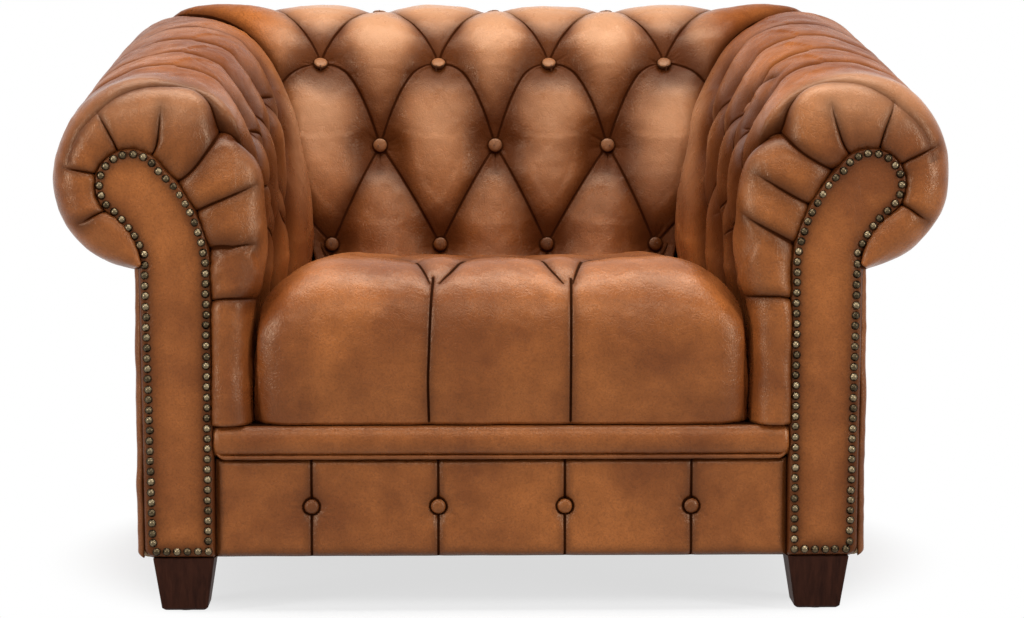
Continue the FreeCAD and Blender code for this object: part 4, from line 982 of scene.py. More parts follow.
tan_leather = leather("tan leather")
# The buttons' leather is the tan made darker, painted shade for the pits they sit in, with less painted crown
# light.
shaded_button_leather = leather("button leather", 0.72, 0.35)
nail_brass = brass("antique brass")
leg_wood = wood("dark stained wood", (0.020, 0.0062, 0.0034), (0.056, 0.0175, 0.0092), rough=0.55)
leg_wood.node_tree.nodes["Principled BSDF"].inputs["Specular IOR Level"].default_value = 0.08
frame_timber = wood("frame timber", (0.42, 0.27, 0.14), (0.66, 0.48, 0.29), 0.6, 0.6)
under_cloth = woven("lining cloth", (0.02, 0.018, 0.016), (0.06, 0.055, 0.05))
jute = woven("jute", (0.20, 0.13, 0.06), (0.42, 0.31, 0.18), 500.0 / 6)
twine = plain("waxed twine", (0.085, 0.028, 0.008), (0.15, 0.052, 0.015), 0.7)
foam = plain("foam", (0.70, 0.62, 0.42), (0.86, 0.80, 0.60), 0.95)
steel = plain("plated steel", (0.42, 0.42, 0.43), (0.62, 0.62, 0.64), 0.35, 1.0)
glide = plain("glide plastic", (0.015, 0.015, 0.015), (0.035, 0.035, 0.035), 0.5)


# The tufted pieces.

def place_on(made, node_names):
    """Joins a piece to the body and hides the solids that it stands for."""
    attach(made, "root")
    if node_names:
        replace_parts(made, *node_names)
    return made


# A button's shape as radius and height: over its front to the rim, and on round its back.
BUTTON_FRONT = [(0.0, 1.0), (0.30, 0.985), (0.55, 0.92), (0.75, 0.78), (0.90, 0.52), (1.0, 0.18),
                (0.99, -0.12)]
BUTTON_BACK = [(0.86, -0.42), (0.5, -0.55), (0.0, -0.58)]
BUTTON_SEGMENTS, BUTTON_SEED = 32, 3
BUTTON_ACROSS = [0.3, 0.2, 0.9]


def tilted_axes(aim, random_tilt, across):
    """A unit vector tilted a little, and two more at right angles to it."""
    aim = aim + random_tilt
    aim /= np.linalg.norm(aim)
    side = np.cross(aim, across)
    side /= np.linalg.norm(side)
    return aim, side, np.cross(aim, side)


def button_mesh(name, spots, radius, height, node_name, underside=1.0, painted_shades=0.0):
    """Covered buttons: domes with a tucked rim, each turned to its own normal and painted with its own shade;
    the rim is painted dark as shade.
    """
    random = np.random.default_rng(BUTTON_SEED)
    profile = BUTTON_FRONT + [(r, h * underside) for r, h in BUTTON_BACK]
    rings, count = profile[1:-1], BUTTON_SEGMENTS
    verts, faces = [], []
    for point, normal in spots:
        normal = normal / np.linalg.norm(normal)
        aim, side, other = tilted_axes(normal, random.normal(0, 0.05, 3), BUTTON_ACROSS)
        base = len(verts)
        foot, last = base + 1 + len(rings) * count, base + 1 + (len(rings) - 1) * count
        verts.append(point + aim * height * profile[0][1])
        for r, h in rings:
            for step in range(count):
                angle = 2 * math.pi * step / count
                wobble = 1 + 0.012 * math.sin(3 * angle + base)
                around = side * math.cos(angle) + other * math.sin(angle)
                verts.append(point + around * radius * r * wobble + aim * height * h)
        verts.append(point + aim * height * profile[-1][1])
        for step in range(count):
            following = (step + 1) % count
            faces.append((base, base + 1 + step, base + 1 + following))
            faces.append((foot, last + following, last + step))
            for ring in range(len(rings) - 1):
                a, b = base + 1 + ring * count + step, base + 1 + ring * count + following
                faces.append((a, a + count, b + count, b))
    # Painted shade: the rim and underside rings get the dark fold line.
    rim_lines = [0.0] + [1.0 if h < 0.3 else 0.0 for _, h in rings for _ in range(count)] + [1.0]
    marks = leather_marks(0.2, np.tile(rim_lines, len(spots)),
                          spot=np.repeat(np.broadcast_to(painted_shades, len(spots)), len(rim_lines)))
    made = make_mesh(name, verts, faces, shaded_button_leather, marks)
    face_outwards(made)
    return place_on(made, [node_name])


def button_spots(surface, buttons, depth, mirror=False, raised=0.0):
    """Where each button sits and how it faces; raised turns it upwards."""
    point, normal = surface.at(*np.array(buttons).T)
    depth, raised = (np.broadcast_to(value, len(buttons))[:, None] for value in (depth, raised))
    spots = point + normal * depth
    normal = normal + raised * np.array([0, 0, 1.0])
    flip = MIRROR if mirror else 1
    return list(zip(spots * flip, normal * flip))


def edge_fold(points, depth, width):
    """The leather's turn at a piece's own edge: a fold that adds no line of its own to the mesh."""
    return {"points": np.array(points), "depth": np.full(len(points), depth), "lip": 0.0, "edge": True,
            "width": width}


# Back.
back = back_surface()
ROW_A_Z, ROW_B_Z, ROW_C_Z = 0.439, 0.586, 0.714
ROW_D_ANGLE = math.radians(86)
ROW_A = (ROW_A_Z - BACK_FOOT_Z) / math.cos(BACK_LEAN)
ROW_B = (ROW_B_Z - BACK_FOOT_Z) / math.cos(BACK_LEAN)
ROW_C = BACK_FACE + BACK_RADIUS * (math.asin((ROW_C_Z - BACK_CENTER_Z) / BACK_RADIUS) - BACK_LEAN)
ROW_D = BACK_FACE + BACK_RADIUS * (math.pi - BACK_LEAN - ROW_D_ANGLE)
BACK_PITCH = 0.174
ROW_A_X = (-0.2433, -0.081, 0.079, 0.242)
ROW_B_X = (-0.1713, 0.002, 0.1713)
ROW_C_X = (-0.261, -0.0835, 0.0835, 0.258)
ROW_D_X = [BACK_PITCH * k for k in (-2, -1, 0, 1, 2)]
# How far up the outer folds of rows C and A meet the arms, and the short folds under row B's buttons.
EDGE_RISE_C, EDGE_RISE_A = 0.085, 0.045
SHORT_FOLD = 0.048
# How deep the folds are at their buttons and halfway, as shares of the puff.
FULL, MIDDLE = 0.92, 0.66
SIDE_DEPTHS = (FULL, MIDDLE, MIDDLE, FULL)
# Depth and width of the turned-in edge where arm and back meet.
MITER_FOLD = 0.60, 0.016
OUTLINE_STEP, EDGE_STEP = 4 * MM, 6 * MM


def back_inside(places, margin):
    """Which places lie on the back's skin, a margin away from its edges."""
    return ((np.abs(places[:, 0]) <= back_half_width(places[:, 1]) - margin)
            & (places[:, 1] >= margin) & (places[:, 1] <= BACK_LENGTH - margin))


def back_outline():
    """The edge of the back's skin: up its right side, over its top, down its left side, along its foot."""
    v = np.arange(0, BACK_LENGTH, OUTLINE_STEP)
    right = np.stack([back_half_width(v), v], -1)
    foot_half, top_half = (float(half) for half in back_half_width(np.array([0.0, BACK_LENGTH])))
    top = np.arange(top_half, -top_half, -OUTLINE_STEP)
    foot = np.arange(-foot_half + OUTLINE_STEP, foot_half - OUTLINE_STEP / 2, OUTLINE_STEP)
    return np.concatenate([right, np.stack([top, np.full_like(top, BACK_LENGTH)], -1),
                           right[::-1] * np.array([-1, 1]), np.stack([foot, np.zeros_like(foot)], -1)])


def back_folds():
    """The diamonds' sides, the folds that run down from row A and over the roll, and the edges."""
    folds = []
    for c in ROW_C_X:
        for b in ROW_B_X:
            if abs(b - c) < BACK_PITCH:
                folds.append(crease((c, ROW_C), (b, ROW_B), SIDE_DEPTHS, 0.45, 0.9 * MM))
        for d in ROW_D_X:
            if abs(d - c) < BACK_PITCH:
                folds.append(crease((c, ROW_C), (d, ROW_D), (FULL, MIDDLE, 0.5, 0.28), 1.35, 0.9 * MM))
    for a, b in zip((0, 1, 1, 2, 2, 3), (0, 0, 1, 1, 2, 2)):
        folds.append(crease((ROW_B_X[b], ROW_B), (ROW_A_X[a], ROW_A), SIDE_DEPTHS, 0.92, 0.8 * MM))
    for a in ROW_A_X:
        folds.append(crease((a, ROW_A), (a * 1.01, 4 * MM), (FULL, 0.6), 1.0, 0.7 * MM))
    for b in ROW_B_X:
        folds.append(dict(crease((b, ROW_B), (b, ROW_B - SHORT_FOLD), (0.6, 0.25, 0.02)), width=0.008))
    for sign in (-1, 1):
        for x, v, rise, depths, bend, lip in (
            (ROW_C_X[3], ROW_C, ROW_B + EDGE_RISE_C, (FULL, MIDDLE, 0.7), 0.5, 0.9 * MM),
            (ROW_A_X[3], ROW_A, ROW_A + EDGE_RISE_A, (FULL, 0.6), 1.0, 0.8 * MM),
        ):
            edge = float(back_half_width(np.array([rise]))[0])
            folds.append(crease((x * sign, v), (edge * sign, rise), depths, bend, lip))
    for d in ROW_D_X:
        share = 0.26 if abs(d) < 0.3 else 0.2
        folds.append(crease((d, ROW_D), (d * 1.02, BACK_LENGTH - 4 * MM), (0.28, share, share, share * 0.7),
                            1.0, 0.6 * MM))
    v = np.arange(0, BACK_LENGTH, EDGE_STEP)
    for sign in (-1, 1):
        folds.append(edge_fold(np.stack([back_half_width(v) * sign, v], -1), *MITER_FOLD))
    return folds


def back_lift(places):
    """The back is fuller below its roll."""
    return LIFT * np.clip((ROW_D + 0.05 - places[:, 1]) / 0.12, 0, 1)


back_rows = ((ROW_A_X, ROW_A), (ROW_B_X, ROW_B), (ROW_C_X, ROW_C), (ROW_D_X[1:4], ROW_D))
back_buttons = [(x, v) for row, v in back_rows for x in row]
back_skin = skin("tufted back", back, back_outline(), back_inside, back_folds(), back_buttons, seed=11,
                 lift=back_lift, button_pull=0.004, fold_shade=0.55, fold_shade_reach=0.016, spot_reach=0.030,
                 tone_rise=0.0055)
place_on(back_skin, ["back_pad"])
# For each row's buttons: how deep they sit, how far they turn up, and how much painted shade darkens them.
row_settings = ((-0.0262, 0.0, 0.75), (-0.0262, 0.0, 0.35), (-0.0275, 0.70, 0.0), (-0.0145, 0.0, 0.3))
depths, raised, painted_shades = np.repeat(row_settings, [len(row) for row, _ in back_rows], axis=0).T
button_mesh("back buttons", button_spots(back, back_buttons, depths, raised=raised), 0.0104, 0.0036,
            "back_buttons", underside=3.2, painted_shades=painted_shades)

# Arms.
arm = arm_surface()
TOP_V, MIDDLE_V, LOW_V = 0.405, 0.307, 0.205
TOP_U = (0.115, 0.245, 0.395, 0.540)
MIDDLE_U = (0.180, 0.320, 0.467)
LOW_U = (0.115, 0.245, 0.395)
FIRST_MIDDLE_U = 0.050
TUFT_REACH = 0.100
ARM_TOP = ARM_V[-1]
LEFT_SINK = 0.0065
REAR_SETTLE = 0.6


def arm_at(w):
    """The length v of a place w on the arm section."""
    return float(np.interp(w, ARM_PLACES, ARM_V))


# Pleats of the front roll: x and z of both ends as seen against the plane of the facing. The first of
# each side ends where the inner tufts begin.
PLEATS = {
    "left": (((0.4038, 0.5693), (0.3519, 0.6372)), ((0.3837, 0.5308), (0.3116, 0.5602)),
             ((0.3701, 0.4818), (0.3123, 0.4817)), ((0.3698, 0.4133), (0.3116, 0.4132)),
             ((0.4430, 0.6053), (0.4372, 0.6628)), ((0.4929, 0.6066), (0.5216, 0.6565)),
             ((0.5189, 0.5733), (0.5635, 0.5811)), ((0.5067, 0.5297), (0.5441, 0.5091))),
    "right": (((0.3840, 0.6019), (0.3513, 0.6356)), ((0.3846, 0.5400), (0.3242, 0.5745)),
              ((0.3714, 0.4858), (0.3068, 0.5212)), ((0.3720, 0.4139), (0.3026, 0.4151)),
              ((0.4433, 0.6044), (0.4239, 0.6648)), ((0.4878, 0.6108), (0.5089, 0.6705)),
              ((0.5158, 0.5863), (0.5659, 0.6094)), ((0.5126, 0.5373), (0.5531, 0.5101))),
}
# Sharp slits between the inner tufts, as seen in the same plane.
SLITS = {
    "left": (
        ((0.2812, 0.5078), (0.2779, 0.4927), (0.2737, 0.4773)),
        ((0.2690, 0.5286), (0.2665, 0.5186), (0.2628, 0.5078)),
        ((0.2869, 0.5571), (0.2756, 0.5666)),
        ((0.3133, 0.6456), (0.3039, 0.6426), (0.2926, 0.6330), (0.2869, 0.6236)),
        ((0.3020, 0.6891), (0.2926, 0.6863), (0.2823, 0.6786)),
        ((0.3379, 0.6275), (0.3284, 0.6275), (0.3133, 0.6197), (0.3039, 0.6067)),
    ),
    "right": (
        ((0.3031, 0.6754), (0.3147, 0.6883), (0.3276, 0.6974), (0.3521, 0.7026)),
        ((0.2807, 0.6553), (0.2864, 0.6624), (0.2928, 0.6663)),
        ((0.2928, 0.6404), (0.2993, 0.6469), (0.3083, 0.6513)),
        ((0.2980, 0.6054), (0.3109, 0.6203), (0.3276, 0.6294), (0.3476, 0.6294)),
        ((0.2580, 0.5212), (0.2645, 0.5355), (0.2709, 0.5497)),
        ((0.2709, 0.4914), (0.2774, 0.5070), (0.2832, 0.5212)),
    ),
}
SLIT_DEPTHS = (0.10, 0.42, 0.42, 0.10)
SLIT_WIDTH = 0.006
SLIT_MARK = 3.0
SLIT_REAR, SLIT_SLACK = 0.60, 2 * MM
PLEAT_WIDTH = 0.0048
PLEAT_DEPTHS = (0.17, 0.17, 0.17, 0.15, 0.11, 0.03)
PLEAT_MARK = 5.0
# The folds over the roll: how far each runs forward of its button at places w of the arm's section.
OVER_PATH = ((0.002, 2.75), (0.006, 3.1), (0.004, 3.6), (0.0, 4.3))
OVER_DEPTHS = (0.30, 0.22, 0.20, 0.18, 0.16, 0.12)
OVER_STRENGTHS = (1.0, 1.0, 0.9, 0.3)
OVER_WIDTH = 0.008
OVER_MARK = 3.5
# The fold over the front roll: u at places w.
BROW_PATH = ((-0.004, 2.75), (-0.007, 2.80), (-0.022, 2.92), (-0.040, 3.18), (-0.052, 3.38), (-0.056, 3.9))
BROW_DEPTHS = (0.42, 0.34, 0.22, 0.16, 0.15, 0.14, 0.12, 0.09, 0.02)


def seen_places(targets, mirror, rear=0.012, slack=0.0):
    """Places u and v on the arm at x and z, as the camera sees them on the facing's plane."""
    front = arm.u_axis < rear
    points, normals = arm.points[front], arm.normals[front]
    eye = np.array(CAMERA_PLACE) * np.array([-1 if mirror else 1, 1, 1])
    shows = ((points - eye) * normals).sum(-1) < 0
    share = (FACING_FRONT_Y - eye[1]) / (points[..., 1] - eye[1])
    x = eye[0] + (points[..., 0] - eye[0]) * share
    z = eye[2] + (points[..., 2] - eye[2]) * share
    found = []
    for target in targets:
        gap = np.where(shows, np.hypot(x - target[0], z - target[1]), 1.0)
        near = np.where(gap <= gap.min() + slack, points[..., 1], 9.0)
        i, j = np.unravel_index(near.argmin(), gap.shape)
        found.append((arm.u_axis[i], arm.v_axis[j]))
    return found


def pleat_places(side, index, count=9):
    """A pleat's places u and v, from the facing's edge to its far end."""
    start, end = np.array(PLEATS[side][index])
    targets = [start + (end - start) * share for share in np.linspace(0, 1, count)]
    places = seen_places(targets, side == "left")
    return [(-TURN_LENGTH, places[0][1])] + places


def arm_inside(places, margin):
    """Which places lie on an arm's skin, a margin away from its edges."""
    u, v = places[:, 0], places[:, 1]
    return ((u >= -TURN_LENGTH + margin) & (u <= arm_length(v) - margin) & (v >= margin)
            & (v <= ARM_TOP - margin))


def arm_outline():
    """The edge of an arm's skin: up its rear end, along its tip, down the facing, along its foot."""
    v = np.arange(0, ARM_TOP, OUTLINE_STEP)
    foot_length, top_length = (float(length) for length in arm_length(np.array([0.0, ARM_TOP])))
    top = np.arange(top_length, -TURN_LENGTH, -OUTLINE_STEP)
    near = np.append(ARM_TOP, v[::-1])
    foot = np.arange(-TURN_LENGTH + OUTLINE_STEP, foot_length - OUTLINE_STEP / 2, OUTLINE_STEP)
    return np.concatenate([
        np.stack([arm_length(v), v], -1), np.stack([top, np.full_like(top, ARM_TOP)], -1),
        np.stack([np.full_like(near, -TURN_LENGTH), near], -1), np.stack([foot, np.zeros_like(foot)], -1),
    ])


def tuft_folds():
    """The sides of the arm's diamonds, and the folds from the low buttons down to the seat."""
    folds = []
    middle_row = MIDDLE_U + (FIRST_MIDDLE_U,)
    for u in TOP_U:
        folds += [crease((u, TOP_V), (m, MIDDLE_V), SIDE_DEPTHS, 0.7, 0.9 * MM)
                  for m in middle_row if abs(u - m) < TUFT_REACH]
    for u in LOW_U:
        folds += [crease((m, MIDDLE_V), (u, LOW_V), SIDE_DEPTHS, 0.9, 0.9 * MM)
                  for m in middle_row if abs(u - m) < TUFT_REACH]
        folds.append(crease((u, LOW_V), (u, 0.06), (FULL, 0.5), 1.0, 0.7 * MM))
    return folds


def over_folds():
    """The folds that run from the top buttons over the roll and down its outer side."""
    folds = []
    for u, strength in zip(TOP_U, OVER_STRENGTHS):
        folds.append(crease((u, TOP_V), (u - 0.004, TOP_V + 0.060), (FULL, 0.5, 0.08), 1.0, 0.9 * MM))
        path = [(u, TOP_V)] + [(u - shift, arm_at(w)) for shift, w in OVER_PATH] + [(u, ARM_TOP - 4 * MM)]
        over = path_crease(path, np.array(OVER_DEPTHS) * strength, 0.8 * MM)
        folds.append(dict(over, width=OVER_WIDTH, mark=OVER_MARK))
    return folds


def front_folds(side):
    """The folds of the front roll: from its first pleat inwards and over the top, and all its pleats."""
    first = pleat_places(side, 0)
    u, v = first[-1]
    inwards = [(u + du, v + dv) for du, dv in ((0, 0), (0.015, -0.020), (0.036, -0.036), (0.063, -0.059))]
    folds = [path_crease(inwards + [(FIRST_MIDDLE_U, MIDDLE_V)], (0.40, 0.55, 0.62, 0.7, FULL), 0.8 * MM)]
    upwards = [(u, v), (u, v + 0.015), (u + 0.024, v + 0.045)]
    over = path_crease(upwards + [(u, arm_at(w)) for u, w in BROW_PATH], BROW_DEPTHS, 0.9 * MM)
    folds.append(dict(over, width=0.010, mark=2.6))
    folds.append(dict(path_crease(first, (0.20, 0.20, 0.22, 0.30, 0.42), 0.8 * MM), width=0.0065, mark=4.0))
    for index in range(1, len(PLEATS[side])):
        folds.append(dict(path_crease(pleat_places(side, index), PLEAT_DEPTHS, 0.7 * MM), width=PLEAT_WIDTH,
                          mark=PLEAT_MARK))
    return folds


def arm_folds(side):
    """All folds of one arm: tufts, roll, front roll, slits between the tufts, and the edges."""
    folds = tuft_folds() + over_folds() + front_folds(side)
    for slit in SLITS[side]:
        places = seen_places(slit, side == "left", SLIT_REAR, SLIT_SLACK)
        folds.append(dict(path_crease(places, SLIT_DEPTHS, 0.9 * MM), width=SLIT_WIDTH, mark=SLIT_MARK))
    v = np.arange(0, ARM_TOP, EDGE_STEP)
    folds.append(edge_fold(np.stack([arm_length(v), v], -1), *MITER_FOLD))
    folds.append(edge_fold(np.stack([np.full_like(v, -TURN_LENGTH), v], -1), 0.20, 0.006))
    return folds


def arm_lift(places):
    """The arm pad is fuller on its inner side and over its crest, and lies lower at its rear end."""
    u, v = places.T
    return (ARM_LIFT * np.clip((u + 0.02) / 0.10, 0, 1) * np.clip((v - 0.10) / 0.08, 0, 1)
            * np.clip((arm_at(3.2) - v) / 0.12, 0, 1)
            * (1 - REAR_SETTLE * np.clip((u - 0.50) / 0.15, 0, 1)))


def left_arm_lift(places):
    """The left pad has settled a little over its crest and outer side."""
    w = np.interp(places[:, 1], ARM_V, ARM_PLACES)
    return arm_lift(places) - (LEFT_SINK * np.clip((w - 2.6) / 0.4, 0, 1) * np.clip((4.3 - w) / 0.6, 0, 1)
                               * np.clip((places[:, 0] + 0.10) / 0.08, 0, 1))


arm_button_places = ([(u, TOP_V) for u in TOP_U] + [(u, MIDDLE_V) for u in MIDDLE_U]
                     + [(u, LOW_V) for u in LOW_U])
for side, mirror, seed, lift in (("left", True, 21, left_arm_lift), ("right", False, 31, arm_lift)):
    made = skin("tufted arm " + side, arm, arm_outline(), arm_inside, arm_folds(side), arm_button_places,
                mirror=mirror, seed=seed, puff=ARM_PUFF, button_pull=0.004, lift=lift, fold_shade=0.70,
                fold_shade_reach=0.016, spot_reach=0.026)
    place_on(made, ["arm_pad_" + side])
    button_mesh("arm buttons " + side, button_spots(arm, arm_button_places, -0.0245, mirror), 0.0102, 0.0044,
                "arm_buttons_" + side)

# Seat.
SEAT_CORNER_WIDTH = 0.103
SEAT_CORNER_DROP = 0.053
SEAT_CORNER_POWER = 2.6
SEAT_SIDE_LEAN = 0.0075
SEAT_SMOOTHING = 3.5
# The front's profile: how far back its foot, brow and nose lie, and how high its belly and brow.
SEAT_TOE_IN, SEAT_BROW_IN, SEAT_NOSE_IN = 0.010, 0.003, 0.030
SEAT_BELLY_SHARE, SEAT_BROW_SHARE = 0.36, 0.66
SEAT_NOSE_DROP = 0.022
# How far the front draws back at its upright corners and at its low corners, and where that starts.
SEAT_CORNER_IN, SEAT_CORNER_START = 0.022, 0.86
SEAT_LOW_IN, SEAT_LOW_SHARE = 0.02, 0.62
SEAT_FADE_Y, SEAT_FADE_LENGTH = SEAT_CROWN_Y + 0.10, 0.15


def seat_cross():
    """Across the seat: x and the share of the full height, at each length from the middle."""
    shoulder = SEAT_HALF - SEAT_SIDE_LEAN - SEAT_CORNER_WIDTH
    flat = np.linspace(0, shoulder, 80)
    share = np.linspace(0, 1, 60)[1:]
    rise = SEAT_CROWN_Z - DECK_Z
    side_z = np.linspace(SEAT_CORNER_DROP, rise * 0.93, 41)[1:]
    side_x = SEAT_HALF - SEAT_SIDE_LEAN * np.clip(1 - (side_z - SEAT_CORNER_DROP) / 0.07, 0, 1)
    x = np.concatenate([flat, shoulder + SEAT_CORNER_WIDTH * share, side_x])
    z = np.concatenate([np.zeros_like(flat), SEAT_CORNER_DROP * share ** SEAT_CORNER_POWER, side_z])
    z += 0.003 * (x / SEAT_HALF) ** 2
    s = np.concatenate([[0], np.cumsum(np.hypot(np.diff(x), np.diff(z)))])
    return s, x, 1 - z / rise


def seat_profile():
    """Along the seat's middle: y and z at each length from its front foot."""
    rise = SEAT_CROWN_Z - DECK_Z
    toe = np.array([[SEAT_FRONT_Y + SEAT_TOE_IN, DECK_Z]])
    belly = np.array([[SEAT_FRONT_Y, DECK_Z + SEAT_BELLY_SHARE * rise]])
    brow = np.array([[SEAT_FRONT_Y + SEAT_BROW_IN, DECK_Z + SEAT_BROW_SHARE * rise]])
    nose = np.array([[SEAT_FRONT_Y + SEAT_NOSE_IN, SEAT_CROWN_Z - SEAT_NOSE_DROP]])
    top = np.array([[SEAT_CROWN_Y, SEAT_CROWN_Z]])
    middle = np.array([[(SEAT_CROWN_Y + SEAT_REAR_Y) / 2, SEAT_CROWN_Z - SEAT_MIDDLE_DROP]])
    rear = np.array([[SEAT_REAR_Y, SEAT_CROWN_Z - SEAT_REAR_DROP]])
    share = np.linspace(0, 1, 120)
    parts = []
    for a, b, c in ((toe, belly, brow), (brow, nose, top), (top, middle, rear)):
        n = len(share)
        parts.append(arc_through(np.repeat(a, n, 0), np.repeat(b, n, 0), np.repeat(c, n, 0), share))
    points = np.concatenate([parts[0], parts[1][1:], parts[2][1:]])
    at = np.concatenate([[0], np.cumsum(np.hypot(*np.diff(points, axis=0).T))])
    return at, points[:, 0], points[:, 1]


SEAT_S, SEAT_X, SEAT_F = seat_cross()
SEAT_AT, SEAT_Y, SEAT_Z = seat_profile()
SEAT_SIDE = float(SEAT_S[-1])
SEAT_LENGTH = float(SEAT_AT[-1])


def seat_surface():
    """u runs across the seat and down its sides, v up its front and back over its top."""
    u_axis = np.arange(-SEAT_SIDE, SEAT_SIDE + 1 * MM, 3 * MM)
    v_axis = np.arange(0, SEAT_LENGTH + 1 * MM, 3 * MM)
    x = np.interp(np.abs(u_axis), SEAT_S, SEAT_X) * np.sign(u_axis)
    share = np.interp(np.abs(u_axis), SEAT_S, SEAT_F)
    y, z = np.interp(v_axis, SEAT_AT, SEAT_Y), np.interp(v_axis, SEAT_AT, SEAT_Z)
    waist = np.interp(y, ARM_Y, WAIST_X) - 0.003
    narrow = np.minimum(waist / SEAT_HALF, 1.0)
    outwards = (np.abs(x) / SEAT_HALF - SEAT_CORNER_START) / (1 - SEAT_CORNER_START)
    inset = SEAT_CORNER_IN * np.clip(outwards, 0, 1) ** 2
    inset = inset + SEAT_LOW_IN * np.clip((SEAT_LOW_SHARE - share) / SEAT_LOW_SHARE, 0, 1)
    points = np.zeros((len(u_axis), len(v_axis), 3))
    points[..., 0] = x[:, None] * narrow[None, :]
    fade = np.clip((SEAT_FADE_Y - y) / SEAT_FADE_LENGTH, 0, 1)
    points[..., 1] = y[None, :] + inset[:, None] * fade[None, :]
    rise = SEAT_CROWN_Z - DECK_Z
    drop = rise * (1 - share)
    power = np.clip(0.95 * rise / np.maximum(drop, 1 * MM), 1.0, 3.0)
    part = np.clip((z - DECK_Z) / rise, 0, 1)
    points[..., 2] = z[None, :] - drop[:, None] * part[None, :] ** power[:, None]
    return Surface(u_axis, v_axis, smooth_rows(points, SEAT_SMOOTHING), 1)


def box_inside(u0, u1, v0, v1):
    """A test of which places lie in a rectangle, a margin away from its sides."""
    def inside(places, margin):
        u, v = places.T
        return (u >= u0 + margin) & (u <= u1 - margin) & (v >= v0 + margin) & (v <= v1 - margin)
    return inside


def box_outline(u0, u1, v0, v1, step=4 * MM):
    """The sides of a rectangle as places a step apart."""
    bottom, right = np.arange(u0, u1, step), np.arange(v0, v1, step)
    top, left = np.arange(u1, u0, -step), np.arange(v1, v0, -step)
    return np.concatenate([np.stack(np.broadcast_arrays(u, v), -1)
                           for u, v in ((bottom, v0), (u1, right), (top, v1), (u0, left))])


seat_inside = box_inside(-SEAT_SIDE, SEAT_SIDE, 0, SEAT_LENGTH)
SEAT_NOSE = int(np.argmax(SEAT_Y > SEAT_FRONT_Y + 0.012))


def seat_at(y):
    """The length along the seat's profile at y, on top."""
    return float(np.interp(y, SEAT_Y[SEAT_NOSE:], SEAT_AT[SEAT_NOSE:]))


def seat_up(z):
    """The length along the seat's profile at the height z, on its front."""
    top = int(np.argmax(SEAT_Z))
    return float(np.interp(z, SEAT_Z[:top], SEAT_AT[:top]))


SEAT_ROWS = [(seat_at(-0.322 + 0.118 * k), (-1, 1) if k % 2 == 0 else (-2, 0, 2)) for k in range(4)]
# Seams up the front as x and z, and the two folds that open where each seam ends, as x and y.
SEAMS = (((-0.0944, 0.252), (-0.0958, 0.304), (-0.0920, 0.400), (-0.0886, 0.4400)),
         ((0.0895, 0.252), (0.0896, 0.304), (0.0900, 0.400), (0.0908, 0.4400)))
SEAM_FANS = (((-0.0930, -0.4300), (-0.1010, -0.4120), (-0.1206, -0.3500), (-0.1485, -0.280)),
             ((-0.0800, -0.4300), (-0.0640, -0.4120), (-0.0420, -0.3500), (-0.0385, -0.280)),
             ((0.0800, -0.4300), (0.0660, -0.4120), (0.0450, -0.3500), (0.0385, -0.280)),
             ((0.0930, -0.4300), (0.0990, -0.4120), (0.1140, -0.3500), (0.1485, -0.280)))
PILLOW_X, PILLOW_Y, PILLOW_RISE, PILLOW_REACH = 0.082, -0.375, 0.0055, 0.018
SEAT_DEPTHS = (0.9, 0.55, 0.55, 0.9)


def seat_lift(places):
    """The small pillow between the two folds above each seam."""
    rise = np.full(len(places), 0.001)
    for x in (-PILLOW_X, PILLOW_X):
        gap = np.hypot(places[:, 0] - x, places[:, 1] - seat_at(PILLOW_Y))
        rise += PILLOW_RISE * np.exp(-0.5 * (gap / PILLOW_REACH) ** 2)
    return rise


def seat_folds():
    """The seams up the front, the folds that open above them, and the sides of the seat's diamonds."""
    folds = []
    for seam in SEAMS:
        path = [(seam[0][0], 0.004)] + [(x, seat_up(z)) for x, z in seam[1:]]
        folds.append(dict(path_crease(path, (0.22, 0.22, 0.24, 0.28), 0.8 * MM), width=0.005, mark=4.5))
    for fan in SEAM_FANS:
        path = [(x, seat_at(y)) for x, y in fan]
        folds.append(dict(path_crease(path, (0.24, 0.46, 0.40, 0.28, 0.10), 0.9 * MM), width=0.008, mark=2.5))
    for (v0, steps0), (v1, steps1) in zip(SEAT_ROWS, SEAT_ROWS[1:]):
        for a, b in ((a, b) for a in steps0 for b in steps1 if abs(a - b) < 1.5):
            folds.append(crease((a * SEAT_SEAM_X, v0), (b * SEAT_SEAM_X, v1), SEAT_DEPTHS, 0.9, 0.7 * MM))
    return folds


seat = seat_surface()
seat_buttons = [(k * SEAT_SEAM_X, v) for v, steps in SEAT_ROWS for k in steps]
seat_skin = skin("seat cushion", seat, box_outline(-SEAT_SIDE, SEAT_SIDE, 0, SEAT_LENGTH), seat_inside,
                 seat_folds(), seat_buttons, seed=41, puff=0.017, lift=seat_lift, button_pull=0.002,
                 thickness=0.02, fold_shade=0.3, fold_shade_reach=0.012)
place_on(seat_skin, ["seat_cover"])
button_mesh("seat buttons", button_spots(seat, seat_buttons, -0.012), 0.0102, 0.0055, "seat_buttons")

# Front rail covering, facings, panels and legs.

def flat_surface(u0, u1, v0, v1, place):
    """A grid surface from a function of u and v arrays that gives x, y, z."""
    u_axis = np.arange(u0 - 2 * MM, u1 + 4 * MM, 2 * MM)
    v_axis = np.arange(v0 - 2 * MM, v1 + 4 * MM, 2 * MM)
    u, v = np.meshgrid(u_axis, v_axis, indexing="ij")
    points = np.stack(place(u, v), -1)
    return Surface(u_axis, v_axis, points, 1)


def ring_fold(outline, depth, width):
    """The turned edge all round a piece."""
    return edge_fold(np.concatenate([outline, outline[:1]]), depth, width)


